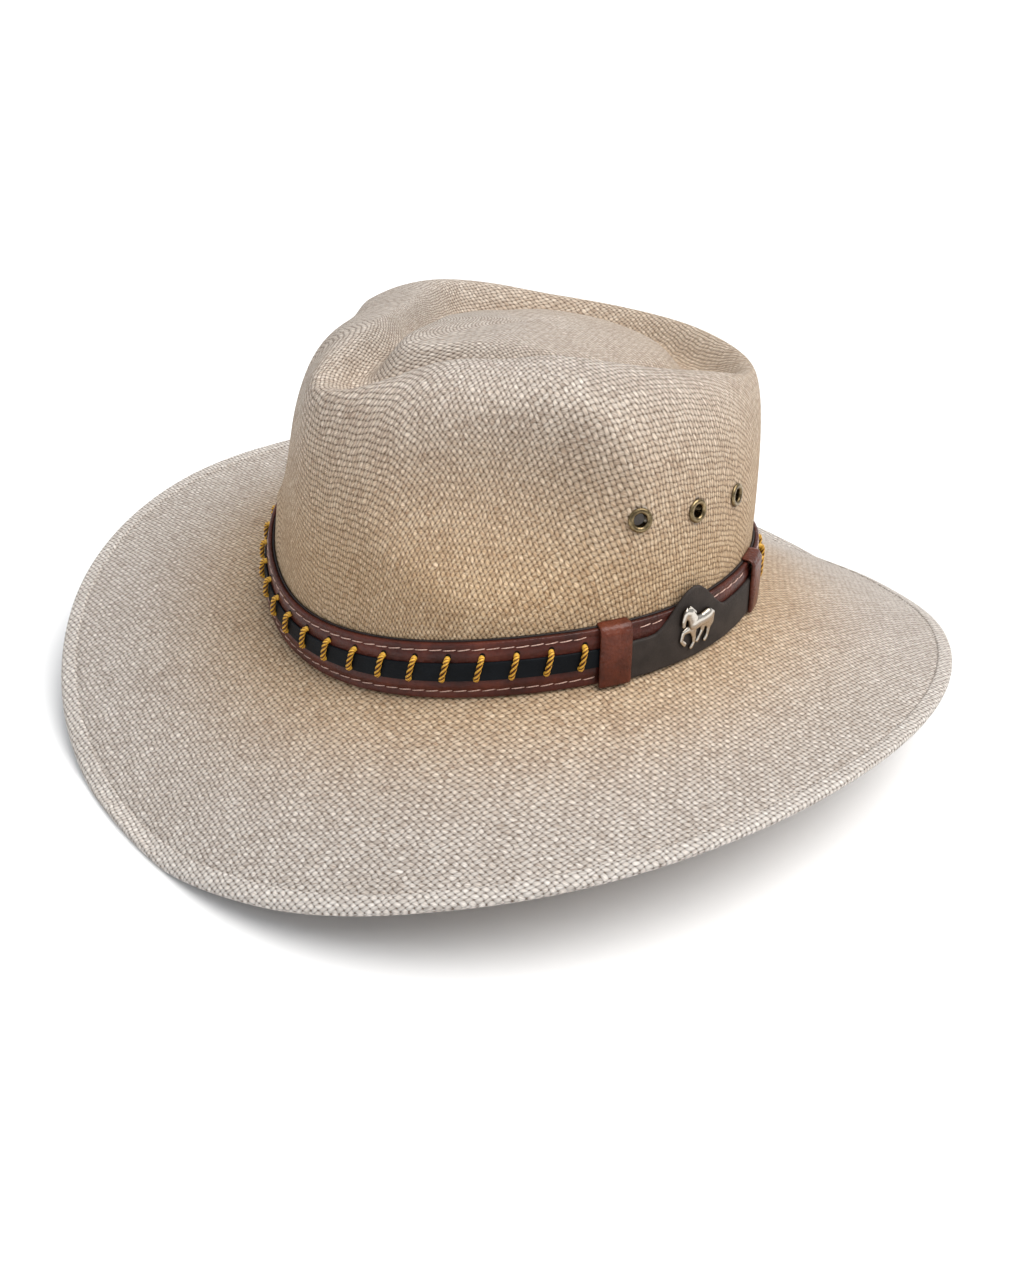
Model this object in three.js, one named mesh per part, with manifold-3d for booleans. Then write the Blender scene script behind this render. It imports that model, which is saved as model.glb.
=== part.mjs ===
// Woven straw outback hat with a laced leather band.
// Millimetres, +Z up. The hat faces -Y, and +X is the wearer's left.
// The origin is on the surface that the hat rests on, below the middle of the brim.
// Angles run in degrees from the front towards the wearer's left, all the way round.

import * as THREE from 'three'
import { mergeVertices } from 'three/addons/utils/BufferGeometryUtils.js'
import Module from 'manifold-3d'

// Brim
const brimLength = 348 // front to back
const brimWidth = 326
const brimSquareness = 2.2 // exponent of the plan, where 2 is an ellipse
const brimSideLift = 39.9 // the edge at the sides, above the edge at the front
const brimArch = 2.5 // bulge of the brim between edge and crown, front and back
const brimTrough = 4 // hollow of the brim between edge and crown, at the sides
const strawWall = 1.9
const hemWidth = 5
const hemRaise = 0.6 // the folded hem stands this much above and below the brim
const hemRound = 0.7 // rounding of the edge
const hemStep = 1.2 // width of the step from the hem down to the brim
const restPress = 2.8 // the front and back dips are pressed flat by this much

// Crown
const seamFront = 96.2 // reach of the seam, where the crown meets the brim, to the front
const seamBack = 93
const seamWidth = 179
const seamHeight = 50.2 // height of that line at the sides
const seamDropFront = 11.6
const seamDropBack = 13
const seamDropBend = 4 // exponent: the higher, the closer the two drops keep to the front and the back
const crownHeight = 97.4 // from the seam at the sides to the highest crest
const wallLean = 0.22 // share of the wall's way inward that is a straight lean
const shoulderTightness = 1.86 // how late the wall turns in to the crest
const domeHeight = 93.7 // middle of the crown top, above the seam at the sides
const domeFall = 4.6 // the raised middle is this much lower at its rim
const domeTilt = 7.8 // and at the front of its rim this much higher again, at the back lower
const valleyDepth = 8.2 // groove between the crest and the raised middle
const valleyReach = 0.42 // share of the crest radius that the groove takes up

// Front pinches, one on each side
const pinchAngle = 46
const pinchSpread = 33 // degrees to each side of the middle of the dent
const pinchMiddle = 61.6 // height of the middle of the dent above the seam
const pinchBelow = 37 // the dent ends this far below its middle
const pinchAbove = 36
const pinchDepth = 16
const pinchSoftness = 1.6 // exponent of the dent's depth, where 1 gives it a sharp lip

// Band
const pieceGap = 0.25 // clearance between pieces that touch
const bandHeight = 20.3
const backingThickness = 0.7
const backingShow = 0.3 // the backing stands this much above the strap
const strapThickness = 1.4
const stripThickness = 0.7
const stripWidth = 6.6
const stripMiddle = 10.2 // height of the strip's middle above the strap's lower edge
const laceThickness = 2
const laceSlant = 1.4 // the upper end leans towards the back by this much
const laceRise = 0.2 // a loop's middle is this much above the strip's
const laceBend = 0.6 // share of the way out at which a loop starts to bend over
const laceCount = 44

// Plate and keepers
const keeperWidth = 11.8
const keeperThickness = 1.2
const keeperOverhang = 0.8 // the keeper stands this far past the band's edges
const keeperFrontAngle = 69.9
const keeperRearAngle = 119
const plateThickness = 1.1
const plateHeight = 13.8
const plateTuck = 4 // how far the plate goes under each keeper
const humpHeight = 13.2
const humpHalfWidth = 19.5
const humpAngle = 90.6

// Horse ornament
const horseHeight = 16.5
const horseLength = 17
const horseThickness = 1.3
const horseBevel = 0.4
const horseAngle = 91
const horseLift = 4 // hooves above the plate's lower edge

// Eyelets
const eyeletBore = 4.4
const eyeletTube = 5.6
const eyeletFlange = 8.4
const eyeletFlangeThickness = 0.8
const eyeletHeight = 54.3 // the foremost eyelet, above the seam
const eyeletDrop = 2.3 // each eyelet is this much lower above the seam than the one before it
const eyeletFirstAngle = 76.6
const eyeletSpacing = 24

// Fineness of the faceted surfaces
const columns = 60
const eyeletSides = 12
const plateFineness = 3 // stations of the plate for each column of the hat
const laceSides = 5
const laceSteps = 5

// Edge height of the brim, as a share of brimSideLift. Rows are evenly spaced from front to back.
const edgeTable = [
  { angle: 0, lift: 0 },
  { angle: 22.5, lift: 0.295 },
  { angle: 45, lift: 0.737 },
  { angle: 67.5, lift: 0.98 },
  { angle: 90, lift: 1 },
  { angle: 112.5, lift: 0.925 },
  { angle: 135, lift: 0.69 },
  { angle: 157.5, lift: 0.285 },
  { angle: 180, lift: 0 },
]

// Crest of the crown. spread is a share of the seam's radius, height a share of crownHeight.
const crestTable = [
  { angle: 0, spread: 0.9, height: 0.905 },
  { angle: 20, spread: 0.61, height: 0.99 },
  { angle: 40, spread: 0.5, height: 0.99 },
  { angle: 60, spread: 0.47, height: 0.995 },
  { angle: 80, spread: 0.53, height: 0.98 },
  { angle: 100, spread: 0.63, height: 0.943 },
  { angle: 120, spread: 0.728, height: 0.886 },
  { angle: 140, spread: 0.89, height: 0.803 },
  { angle: 160, spread: 0.955, height: 0.771 },
  { angle: 180, spread: 0.965, height: 0.769 },
]

// Outline of the horse, from the nose over the back. x is a share of its length, y of its height.
const horseTable = [
  { x: 0.04, y: 0.64 }, { x: 0.07, y: 0.8 }, { x: 0.16, y: 0.93 }, { x: 0.2, y: 1 },
  { x: 0.3, y: 0.98 }, { x: 0.4, y: 0.86 }, { x: 0.48, y: 0.76 }, { x: 0.6, y: 0.73 },
  { x: 0.76, y: 0.79 }, { x: 0.88, y: 0.78 }, { x: 0.97, y: 0.66 }, { x: 0.99, y: 0.5 },
  { x: 0.93, y: 0.38 }, { x: 0.89, y: 0.5 }, { x: 0.86, y: 0.42 }, { x: 0.88, y: 0.26 },
  { x: 0.84, y: 0.07 }, { x: 0.75, y: 0.06 }, { x: 0.77, y: 0.26 }, { x: 0.7, y: 0.34 },
  { x: 0.66, y: 0.22 }, { x: 0.62, y: 0.03 }, { x: 0.53, y: 0.02 }, { x: 0.58, y: 0.22 },
  { x: 0.6, y: 0.38 }, { x: 0.48, y: 0.4 }, { x: 0.39, y: 0.34 }, { x: 0.4, y: 0.18 },
  { x: 0.42, y: 0 }, { x: 0.32, y: 0 }, { x: 0.3, y: 0.18 }, { x: 0.27, y: 0.32 },
  { x: 0.17, y: 0.31 }, { x: 0.12, y: 0.2 }, { x: 0.15, y: 0.07 }, { x: 0.06, y: 0.08 },
  { x: 0.03, y: 0.22 }, { x: 0.08, y: 0.38 }, { x: 0.2, y: 0.42 }, { x: 0.17, y: 0.54 },
  { x: 0.19, y: 0.66 }, { x: 0.14, y: 0.7 }, { x: 0.1, y: 0.6 },
]

const materials = {
  straw: new THREE.MeshStandardMaterial({ color: 0xcbb59a, roughness: 0.85, metalness: 0 }),
  backing: new THREE.MeshStandardMaterial({ color: 0x2a2223, roughness: 0.6, metalness: 0 }),
  leather: new THREE.MeshStandardMaterial({ color: 0x5b2417, roughness: 0.4, metalness: 0 }),
  strip: new THREE.MeshStandardMaterial({ color: 0x14161a, roughness: 0.45, metalness: 0 }),
  cord: new THREE.MeshStandardMaterial({ color: 0xc98a1c, roughness: 0.55, metalness: 0.1 }),
  plate: new THREE.MeshStandardMaterial({ color: 0x2b2423, roughness: 0.5, metalness: 0 }),
  silver: new THREE.MeshStandardMaterial({ color: 0xcfc8b8, roughness: 0.25, metalness: 1 }),
  brass: new THREE.MeshStandardMaterial({ color: 0x7d6a45, roughness: 0.4, metalness: 1 }),
}

const wasm = await Module()
wasm.setup()

const mix = (from, to, share) => from + (to - from) * share
const radians = (degrees) => THREE.MathUtils.degToRad(degrees)

// A point at a radius and height, in the direction of an angle.
function polar(angle, radius, height) {
  return new THREE.Vector3(radius * Math.sin(radians(angle)), -radius * Math.cos(radians(angle)), height)
}

// Radius of a superellipse in the direction of an angle.
function ovalRadius(angle, length, width, squareness) {
  const along = Math.abs(Math.cos(radians(angle))) / (length / 2)
  const across = Math.abs(Math.sin(radians(angle))) / (width / 2)
  return (along ** squareness + across ** squareness) ** (-1 / squareness)
}

// Smooth value of a table's column. Both sides of the hat are alike, so the table is mirrored at its ends.
function tableValue(table, column, angle) {
  const folded = Math.abs(((angle % 360) + 540) % 360 - 180)
  const position = (folded / 180) * (table.length - 1)
  const row = Math.min(Math.floor(position), table.length - 2)
  const last = table.length - 1
  const value = (index) => {
    const mirrored = Math.abs(index) > last ? 2 * last - index : Math.abs(index)
    return table[mirrored][column]
  }
  const share = position - row
  const before = value(row - 1)
  const from = value(row)
  const to = value(row + 1)
  const after = value(row + 2)
  const curve = (to - before) * share
    + (2 * before - 5 * from + 4 * to - after) * share ** 2
    + (3 * from - before - 3 * to + after) * share ** 3
  return from + curve / 2
}

// Brim surfaces. share runs from 0 at the edge to 1 at the seam.
const edgeRadius = (angle) => ovalRadius(angle, brimLength, brimWidth, brimSquareness)
function seamRadius(angle) {
  const reach = Math.cos(radians(angle)) > 0 ? seamFront : seamBack
  return ovalRadius(angle, 2 * reach, seamWidth, 2)
}

function seamLevel(angle) {
  const forward = Math.cos(radians(angle))
  const drop = forward > 0 ? seamDropFront : seamDropBack
  return seamHeight - drop * Math.abs(forward) ** seamDropBend
}

const hemThickness = strawWall + 2 * hemRaise
const edgeLevel = (angle) => brimSideLift * tableValue(edgeTable, 'lift', angle) + hemThickness - restPress

function brimTop(angle, share) {
  const forward = Math.cos(radians(angle)) ** 2
  const bulge = mix(-brimTrough, brimArch, forward) * 4 * share * (1 - share)
  return mix(edgeLevel(angle) - hemRaise, seamLevel(angle), share) + bulge
}

// A point of the brim, at a distance inside the edge. raise lifts it off the upper surface, and sink
// measures down from there to the lower surface. The pressed dips end on the resting plane.
function brimPoint(angle, inside, raise, sink) {
  const run = edgeRadius(angle) - seamRadius(angle)
  const upper = Math.max(brimTop(angle, inside / run) + raise, hemThickness)
  const radius = edgeRadius(angle) - inside
  return polar(angle, radius, sink > 0 ? Math.max(upper - sink, 0) : upper)
}

// Crown surface. way runs from 0 at the seam to 1 at the crest and on to 2 in the middle of the top.
const crestRadius = (angle) => seamRadius(angle) * tableValue(crestTable, 'spread', angle)
const crestLevel = (angle) => seamHeight + crownHeight * tableValue(crestTable, 'height', angle)

function wallRadius(angle, turn) {
  const rounding = (1 - Math.cos(turn)) ** shoulderTightness
  return mix(seamRadius(angle), crestRadius(angle), wallLean * Math.sin(turn) + (1 - wallLean) * rounding)
}

function pinch(angle, height) {
  const folded = Math.abs(((angle % 360) + 540) % 360 - 180)
  const sideways = (folded - pinchAngle) / pinchSpread
  const above = height - seamHeight - pinchMiddle
  const upright = above / (above > 0 ? pinchAbove : pinchBelow)
  const distance = Math.min(Math.hypot(sideways, upright), 1)
  return pinchDepth * (1 - distance ** 2) ** pinchSoftness
}

function crownPoint(angle, way) {
  if (way <= 1) {
    const turn = (way * Math.PI) / 2
    const height = mix(seamLevel(angle), crestLevel(angle), Math.sin(turn))
    return polar(angle, wallRadius(angle, turn) - pinch(angle, height), height)
  }
  const inward = way - 1
  const across = Math.min(inward / valleyReach, 1)
  const blend = across ** 2 * (3 - 2 * across)
  const groove = Math.sin(Math.PI * across) ** 2
  const outward = (1 - inward) / (1 - valleyReach)
  const tilt = domeTilt * outward * Math.cos(radians(angle))
  const dome = seamHeight + domeHeight - domeFall * outward ** 2 + tilt
  const height = mix(crestLevel(angle), dome, blend) - valleyDepth * groove
  const shrink = pinch(angle, crestLevel(angle))
  return polar(angle, (crestRadius(angle) - shrink) * (1 - inward), height)
}

function crownNormal(angle, way) {
  if (way >= 2) return new THREE.Vector3(0, 0, 1)
  const step = 0.01
  const low = Math.max(way - step, 0)
  const high = Math.min(way + step, 2 - step)
  const along = crownPoint(angle + 1, way).sub(crownPoint(angle - 1, way))
  const up = crownPoint(angle, high).sub(crownPoint(angle, low))
  const normal = along.cross(up)
  if (way === 0) normal.z = 0
  return normal.normalize()
}

function crownInside(angle, way) {
  return crownPoint(angle, way).addScaledVector(crownNormal(angle, way), -strawWall)
}

// Radius of the crown's outer wall at a height near the band.
function crownRadiusAt(angle, height) {
  const rise = (height - seamLevel(angle)) / (crestLevel(angle) - seamLevel(angle))
  const turn = Math.asin(THREE.MathUtils.clamp(rise, 0, 1))
  return wallRadius(angle, turn) - pinch(angle, height)
}

// A closed mesh from points and triangles given as index triples.
function meshGeometry(points, triangles) {
  const geometry = new THREE.BufferGeometry().setFromPoints(points)
  geometry.setIndex(triangles)
  geometry.computeVertexNormals()
  return geometry
}

// Triangles between rings of equal size, split along each quad's shorter diagonal. Each ring is the next
// section along the sweep.
function skin(points, ringSize, closed) {
  const triangles = []
  const ringCount = points.length / ringSize
  const last = closed ? ringCount : ringCount - 1
  for (let ring = 0; ring < last; ring += 1) {
    const next = (ring + 1) % ringCount
    for (let side = 0; side < ringSize; side += 1) {
      const other = (side + 1) % ringSize
      const a = ring * ringSize + side
      const b = ring * ringSize + other
      const c = next * ringSize + other
      const d = next * ringSize + side
      if (points[a].distanceTo(points[c]) < points[b].distanceTo(points[d])) {
        triangles.push(a, d, c, a, c, b)
      } else {
        triangles.push(a, d, b, b, d, c)
      }
    }
  }
  return triangles
}

// Sweeps a section round the crown. sectionAt gives [radius, height] pairs, counter-clockwise with the
// radius to the right, and angles are the stations. An open sweep gets flat ends.
function sweepRound(sectionAt, angles, closed) {
  const sections = angles.map(sectionAt)
  const points = sections.flatMap((section, station) => (
    section.map(([radius, height]) => polar(angles[station], radius, height))
  ))
  const size = sections[0].length
  const triangles = skin(points, size, closed)
  if (!closed) {
    const flat = sections[0].map(([radius, height]) => new THREE.Vector2(radius, height))
    const start = (angles.length - 1) * size
    for (const [a, b, c] of THREE.ShapeUtils.triangulateShape(flat, [])) {
      triangles.push(a, b, c)
      triangles.push(start + a, start + c, start + b)
    }
  }
  return meshGeometry(points, triangles)
}

const roundAngles = Array.from({ length: columns }, (_, column) => (column * 360) / columns)

// Stations from one angle to another, with a number of them for each column of the hat.
function stations(from, to, fineness = 1) {
  const count = Math.max(2, Math.ceil(((to - from) * columns * fineness) / 360) + 1)
  return Array.from({ length: count }, (_, step) => mix(from, to, step / (count - 1)))
}

// Hat body: the hem, the brim, the crown and its top, and the same again on the inside
function bodyRows() {
  const hemInside = hemWidth + hemStep
  const brimShares = [0.17, 0.36, 0.56, 0.76, 0.9]
  const underShares = [0.2, 0.5, 0.8]
  const wallWays = [0.12, 0.22, 0.33, 0.44, 0.55, 0.66, 0.76, 0.85, 0.93]
  const topWays = [1, 1.08, 1.17, 1.28, 1.4, 1.52, 1.75]
  const innerWays = [1.75, 1.5, 1.28, 1.12, 1, 0.92, 0.8, 0.66, 0.5, 0.33, 0.15]
  const run = (angle) => edgeRadius(angle) - seamRadius(angle)
  const brimRow = (inside, raise, sink) => (angle) => brimPoint(angle, inside, raise, sink)
  const shareRow = (share, sink) => (angle) => brimPoint(angle, share * run(angle), 0, sink)
  return [
    ...topWays.toReversed().map((way) => (angle) => crownPoint(angle, way)),
    ...wallWays.toReversed().map((way) => (angle) => crownPoint(angle, way)),
    (angle) => polar(angle, seamRadius(angle), seamLevel(angle)),
    ...brimShares.toReversed().map((share) => shareRow(share, 0)),
    brimRow(hemInside, 0, 0),
    brimRow(hemWidth, hemRaise, 0),
    brimRow(hemRound, hemRaise, 0),
    brimRow(0, hemRaise, hemRound),
    brimRow(0, hemRaise, hemThickness - hemRound),
    brimRow(hemRound, hemRaise, hemThickness),
    brimRow(hemWidth / 2, hemRaise, hemThickness),
    brimRow(hemWidth, hemRaise, hemThickness),
    brimRow(hemInside, 0, strawWall),
    ...underShares.map((share) => shareRow(share, strawWall)),
    (angle) => polar(angle, seamRadius(angle) - strawWall, seamLevel(angle) - strawWall),
    ...innerWays.toReversed().map((way) => (angle) => crownInside(angle, way)),
  ]
}

function bodyGeometry() {
  const rows = bodyRows()
  const points = rows.flatMap((row) => roundAngles.map(row))
  const triangles = skin(points, columns, false)
  const outerPole = points.push(crownPoint(0, 2)) - 1
  const innerPole = points.push(crownInside(0, 2)) - 1
  const lastRow = (rows.length - 1) * columns
  for (let column = 0; column < columns; column += 1) {
    const next = (column + 1) % columns
    triangles.push(outerPole, column, next)
    triangles.push(innerPole, lastRow + next, lastRow + column)
  }
  return meshGeometry(points, triangles)
}

function toSolid(geometry) {
  const plain = geometry.clone()
  plain.deleteAttribute('normal')
  plain.deleteAttribute('uv')
  const merged = mergeVertices(plain)
  return new wasm.Manifold(new wasm.Mesh({
    numProp: 3,
    vertProperties: new Float32Array(merged.attributes.position.array),
    triVerts: new Uint32Array(merged.index.array),
  }))
}

function fromSolid(solid) {
  const { vertProperties, triVerts } = solid.getMesh()
  const geometry = new THREE.BufferGeometry()
  geometry.setAttribute('position', new THREE.BufferAttribute(vertProperties, 3))
  geometry.setIndex(new THREE.BufferAttribute(triVerts, 1))
  geometry.computeVertexNormals()
  return geometry
}

// Eyelets
// Way up the wall at a height above the seam.
function wayAtHeight(angle, height) {
  const rise = height / (crestLevel(angle) - seamLevel(angle))
  return Math.asin(THREE.MathUtils.clamp(rise, 0, 1)) / (Math.PI / 2)
}

function eyeletPlace(angle, index) {
  const way = wayAtHeight(angle, eyeletHeight - index * eyeletDrop)
  return { point: crownPoint(angle, way), normal: crownNormal(angle, way) }
}

// Angles of the eyelets on the wearer's left. The other side mirrors them.
function eyeletAngles() {
  const angles = [eyeletFirstAngle]
  for (let count = 1; count < 3; count += 1) {
    const previous = angles[count - 1]
    const radius = crownRadiusAt(previous, seamLevel(previous) + eyeletHeight)
    angles.push(previous + THREE.MathUtils.radToDeg(eyeletSpacing / radius))
  }
  return angles
}

function place(mesh, { point, normal }) {
  mesh.position.copy(point)
  mesh.quaternion.setFromUnitVectors(new THREE.Vector3(0, 1, 0), normal)
  return mesh
}

// Axis along +Y, with the wall's outer face at y = 0.
function eyeletGeometry() {
  const bore = eyeletBore / 2
  const tube = eyeletTube / 2
  const flange = eyeletFlange / 2
  const outer = pieceGap + eyeletFlangeThickness
  const inner = -strawWall - pieceGap - eyeletFlangeThickness / 2
  const profile = [
    [bore, inner],
    [tube, inner],
    [tube, pieceGap],
    [flange, pieceGap],
    [flange - eyeletFlangeThickness, outer],
    [bore + eyeletFlangeThickness / 2, outer],
    [bore, pieceGap],
    [bore, inner],
  ]
  const line = profile.map(([radius, height]) => new THREE.Vector2(radius, height))
  return new THREE.LatheGeometry(line, eyeletSides)
}

function eyeletHole(eyelet) {
  const radius = eyeletTube / 2 + pieceGap
  const length = 2 * (strawWall + eyeletTube)
  const tool = new THREE.Mesh(new THREE.CylinderGeometry(radius, radius, length, eyeletSides))
  place(tool, eyelet)
  tool.updateMatrix()
  return toSolid(tool.geometry.applyMatrix4(tool.matrix))
}

// Band: offsets outward from the crown's wall
const backingInner = pieceGap
const backingOuter = backingInner + backingThickness
const strapInner = backingOuter + pieceGap
const strapOuter = strapInner + strapThickness
const stripInner = strapOuter + pieceGap
const plateInner = strapOuter + pieceGap
const keeperInner = plateInner + Math.max(plateThickness, stripThickness) + pieceGap
const keeperOuter = keeperInner + keeperThickness

// The band's lower edge lies on the brim where the brim meets the crown.
const bandLow = (angle) => seamLevel(angle) + pieceGap

// The band lies straight up the wall, from the crown's radius at its lower edge to that at its upper one.
function bandRadius(angle, above) {
  const foot = crownRadiusAt(angle, bandLow(angle))
  const head = crownRadiusAt(angle, bandLow(angle) + bandHeight)
  return mix(foot, head, above / bandHeight)
}

// Rectangle between two offsets from the wall and two heights above the band's lower edge.
function bandSection(angle, inner, outer, low, high) {
  const bottom = bandLow(angle) + low
  const top = bandLow(angle) + high
  const lowRadius = bandRadius(angle, low)
  const highRadius = bandRadius(angle, high)
  return [
    [lowRadius + inner, bottom],
    [lowRadius + outer, bottom],
    [highRadius + outer, top],
    [highRadius + inner, top],
  ]
}

function bandRing(inner, outer, low, high) {
  return sweepRound((angle) => bandSection(angle, inner, outer, low, high), roundAngles, true)
}

// Half of a width along the band, as an angle.
function halfAngle(angle, width) {
  const radius = bandRadius(angle, 0) + strapOuter
  return THREE.MathUtils.radToDeg(width / 2 / radius)
}

// Leather keeper, wrapped over the band's face and both edges, as far as the crown.
function keeperGeometry(angle) {
  const half = halfAngle(angle, keeperWidth)
  const section = (at) => {
    const low = bandLow(at)
    const high = low + bandHeight + backingShow + pieceGap
    const lowRadius = bandRadius(at, 0)
    const highRadius = bandRadius(at, high - low)
    return [
      [lowRadius + keeperInner, low],
      [lowRadius + keeperOuter, low],
      [highRadius + keeperOuter, high + keeperOverhang],
      [highRadius + pieceGap, high + keeperOverhang],
      [highRadius + pieceGap, high],
      [highRadius + keeperInner, high],
    ]
  }
  return sweepRound(section, stations(angle - half, angle + half), false)
}

// Height of the plate's upper edge above the band's lower edge.
function plateTop(angle) {
  const away = (angle - humpAngle) / (2 * halfAngle(humpAngle, humpHalfWidth))
  const share = Math.min(Math.abs(away), 1)
  return plateHeight + humpHeight * Math.cos((share * Math.PI) / 2) ** 2
}

function plateGeometry() {
  const frontHalf = halfAngle(keeperFrontAngle, keeperWidth - 2 * plateTuck)
  const rearHalf = halfAngle(keeperRearAngle, keeperWidth - 2 * plateTuck)
  const outer = plateInner + plateThickness
  const section = (angle) => bandSection(angle, plateInner, outer, 0, plateTop(angle))
  const angles = stations(keeperFrontAngle + frontHalf, keeperRearAngle - rearHalf, plateFineness)
  return sweepRound(section, angles, false)
}

// The strip runs the long way round, from the rear keeper to the front one.
const stripFrom = keeperRearAngle + halfAngle(keeperRearAngle, keeperWidth - 2 * plateTuck) - 360
const stripTo = keeperFrontAngle - halfAngle(keeperFrontAngle, keeperWidth - 2 * plateTuck)

function stripGeometry() {
  const outer = stripInner + stripThickness
  const low = stripMiddle - stripWidth / 2
  const high = stripMiddle + stripWidth / 2
  const section = (angle) => bandSection(angle, stripInner, outer, low, high)
  return sweepRound(section, stations(stripFrom, stripTo), false)
}

// A point on the band, by its angle, height above the lower edge and offset from the wall.
function bandPoint(angle, above, offset) {
  return polar(angle, bandRadius(angle, above) + offset, bandLow(angle) + above)
}

// Angles of the loops, evenly spaced by length between the two keepers.
function loopAngles() {
  const trace = stations(
    keeperRearAngle + halfAngle(keeperRearAngle, keeperWidth) - 360,
    keeperFrontAngle - halfAngle(keeperFrontAngle, keeperWidth),
  )
  const lengths = [0]
  for (let step = 1; step < trace.length; step += 1) {
    const from = bandPoint(trace[step - 1], stripMiddle, strapOuter)
    const to = bandPoint(trace[step], stripMiddle, strapOuter)
    lengths.push(lengths[step - 1] + from.distanceTo(to))
  }
  const total = lengths[lengths.length - 1]
  const angles = []
  for (let loop = 0; loop < laceCount; loop += 1) {
    const wanted = ((loop + 0.5) * total) / laceCount
    const step = lengths.findIndex((length) => length > wanted)
    const share = (wanted - lengths[step - 1]) / (lengths[step] - lengths[step - 1])
    angles.push(mix(trace[step - 1], trace[step], share))
  }
  return angles
}

// One loop of cord: out of the strap above the strip, over it, and back in below it.
function loopGeometry(angle) {
  const radius = laceThickness / 2
  const foot = strapOuter + pieceGap
  const over = stripInner + stripThickness + pieceGap + radius
  const lean = 2 * halfAngle(angle, laceSlant)
  const half = stripWidth / 2 + laceRise + pieceGap + radius
  const route = [
    [half, foot],
    [half, mix(foot, over, laceBend)],
    [half - radius, over],
    [radius - half, over],
    [-half, mix(foot, over, laceBend)],
    [-half, foot],
  ]
  const points = route.map(([up, offset]) => (
    bandPoint(angle + (lean * up) / half / 2, stripMiddle + laceRise + up, offset)
  ))
  const ring = Array.from({ length: laceSides }, (_, side) => {
    const turn = (side * 2 * Math.PI) / laceSides
    return new THREE.Vector2(radius * Math.cos(turn), radius * Math.sin(turn))
  })
  return new THREE.ExtrudeGeometry(new THREE.Shape(ring), {
    steps: laceSteps,
    extrudePath: new THREE.CatmullRomCurve3(points),
  })
}

// Horse ornament, standing on the plate and facing the front of the hat.
function horseMesh() {
  const outline = horseTable.map(({ x, y }) => (
    new THREE.Vector2((x - 0.5) * horseLength, y * horseHeight)
  ))
  const geometry = new THREE.ExtrudeGeometry(new THREE.Shape(outline), {
    depth: horseThickness - horseBevel,
    bevelThickness: horseBevel,
    bevelSize: -horseBevel,
    bevelOffset: horseBevel / 2,
    bevelSegments: 1,
  })
  const mesh = new THREE.Mesh(geometry, materials.silver)
  const foot = bandPoint(horseAngle, horseLift, 0)
  const head = bandPoint(horseAngle, horseLift + horseHeight, 0)
  const along = polar(horseAngle + 1, 1, 0).sub(polar(horseAngle - 1, 1, 0)).normalize()
  const up = head.clone().sub(foot).normalize()
  const out = along.clone().cross(up).normalize()
  const seat = plateInner + plateThickness + pieceGap + horseBevel
  mesh.quaternion.setFromRotationMatrix(new THREE.Matrix4().makeBasis(along, up, out))
  mesh.position.copy(foot).addScaledVector(out, seat)
  return mesh
}

// The hat
function named(name, geometry, material) {
  const mesh = new THREE.Mesh(geometry, material)
  mesh.name = name
  return mesh
}

const group = new THREE.Group()

const leftAngles = eyeletAngles()
const eyelets = [
  ...leftAngles.map((angle, index) => ({ name: `eyelet_left_${index + 1}`, ...eyeletPlace(angle, index) })),
  ...leftAngles.map((angle, index) => ({ name: `eyelet_right_${index + 1}`, ...eyeletPlace(-angle, index) })),
]

let body = toSolid(bodyGeometry())
for (const eyelet of eyelets) body = body.subtract(eyeletHole(eyelet))
group.add(named('hat_body', fromSolid(body), materials.straw))

for (const eyelet of eyelets) {
  group.add(place(named(eyelet.name, eyeletGeometry(), materials.brass), eyelet))
}

const backing = bandRing(backingInner, backingOuter, 0, bandHeight + backingShow)
group.add(named('band_backing', backing, materials.backing))
group.add(named('band_strap', bandRing(strapInner, strapOuter, 0, bandHeight), materials.leather))
group.add(named('lace_strip', stripGeometry(), materials.strip))
group.add(named('keeper_front', keeperGeometry(keeperFrontAngle), materials.leather))
group.add(named('keeper_rear', keeperGeometry(keeperRearAngle), materials.leather))
group.add(named('band_plate', plateGeometry(), materials.plate))

loopAngles().forEach((angle, index) => {
  const name = `lace_loop_${String(index + 1).padStart(2, '0')}`
  group.add(named(name, loopGeometry(angle), materials.cord))
})

const horse = horseMesh()
horse.name = 'horse_ornament'
group.add(horse)

export default group
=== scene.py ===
"""Looks of the woven straw outback hat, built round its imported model.

Sizes are in millimetres, as in the part's source, and are turned into metres when a mesh is made.
+Z is up, the hat faces -Y, and +X is the wearer's left. Angles run in degrees from the front towards
the wearer's left. "above" is a height above the band's lower edge, and "offset" a distance outward
from the crown's wall. The hat's main sizes are the same as in the part's source.
"""

import math
import random

import bmesh
import bpy
import numpy as np
from mathutils import Matrix, Vector


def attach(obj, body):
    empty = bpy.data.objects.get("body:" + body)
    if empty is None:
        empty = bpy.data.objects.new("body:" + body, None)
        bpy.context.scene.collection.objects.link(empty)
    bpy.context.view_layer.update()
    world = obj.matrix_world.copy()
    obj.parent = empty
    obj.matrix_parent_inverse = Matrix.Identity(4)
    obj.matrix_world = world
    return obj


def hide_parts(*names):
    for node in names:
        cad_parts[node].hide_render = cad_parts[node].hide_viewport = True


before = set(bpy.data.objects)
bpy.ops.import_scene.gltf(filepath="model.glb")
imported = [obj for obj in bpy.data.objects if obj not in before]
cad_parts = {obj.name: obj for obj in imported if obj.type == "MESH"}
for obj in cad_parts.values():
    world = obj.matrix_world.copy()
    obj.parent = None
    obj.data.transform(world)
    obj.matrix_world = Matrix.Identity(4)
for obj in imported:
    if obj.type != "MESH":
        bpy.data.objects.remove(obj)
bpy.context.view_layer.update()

MM = 0.001
SEED = 7

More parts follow.
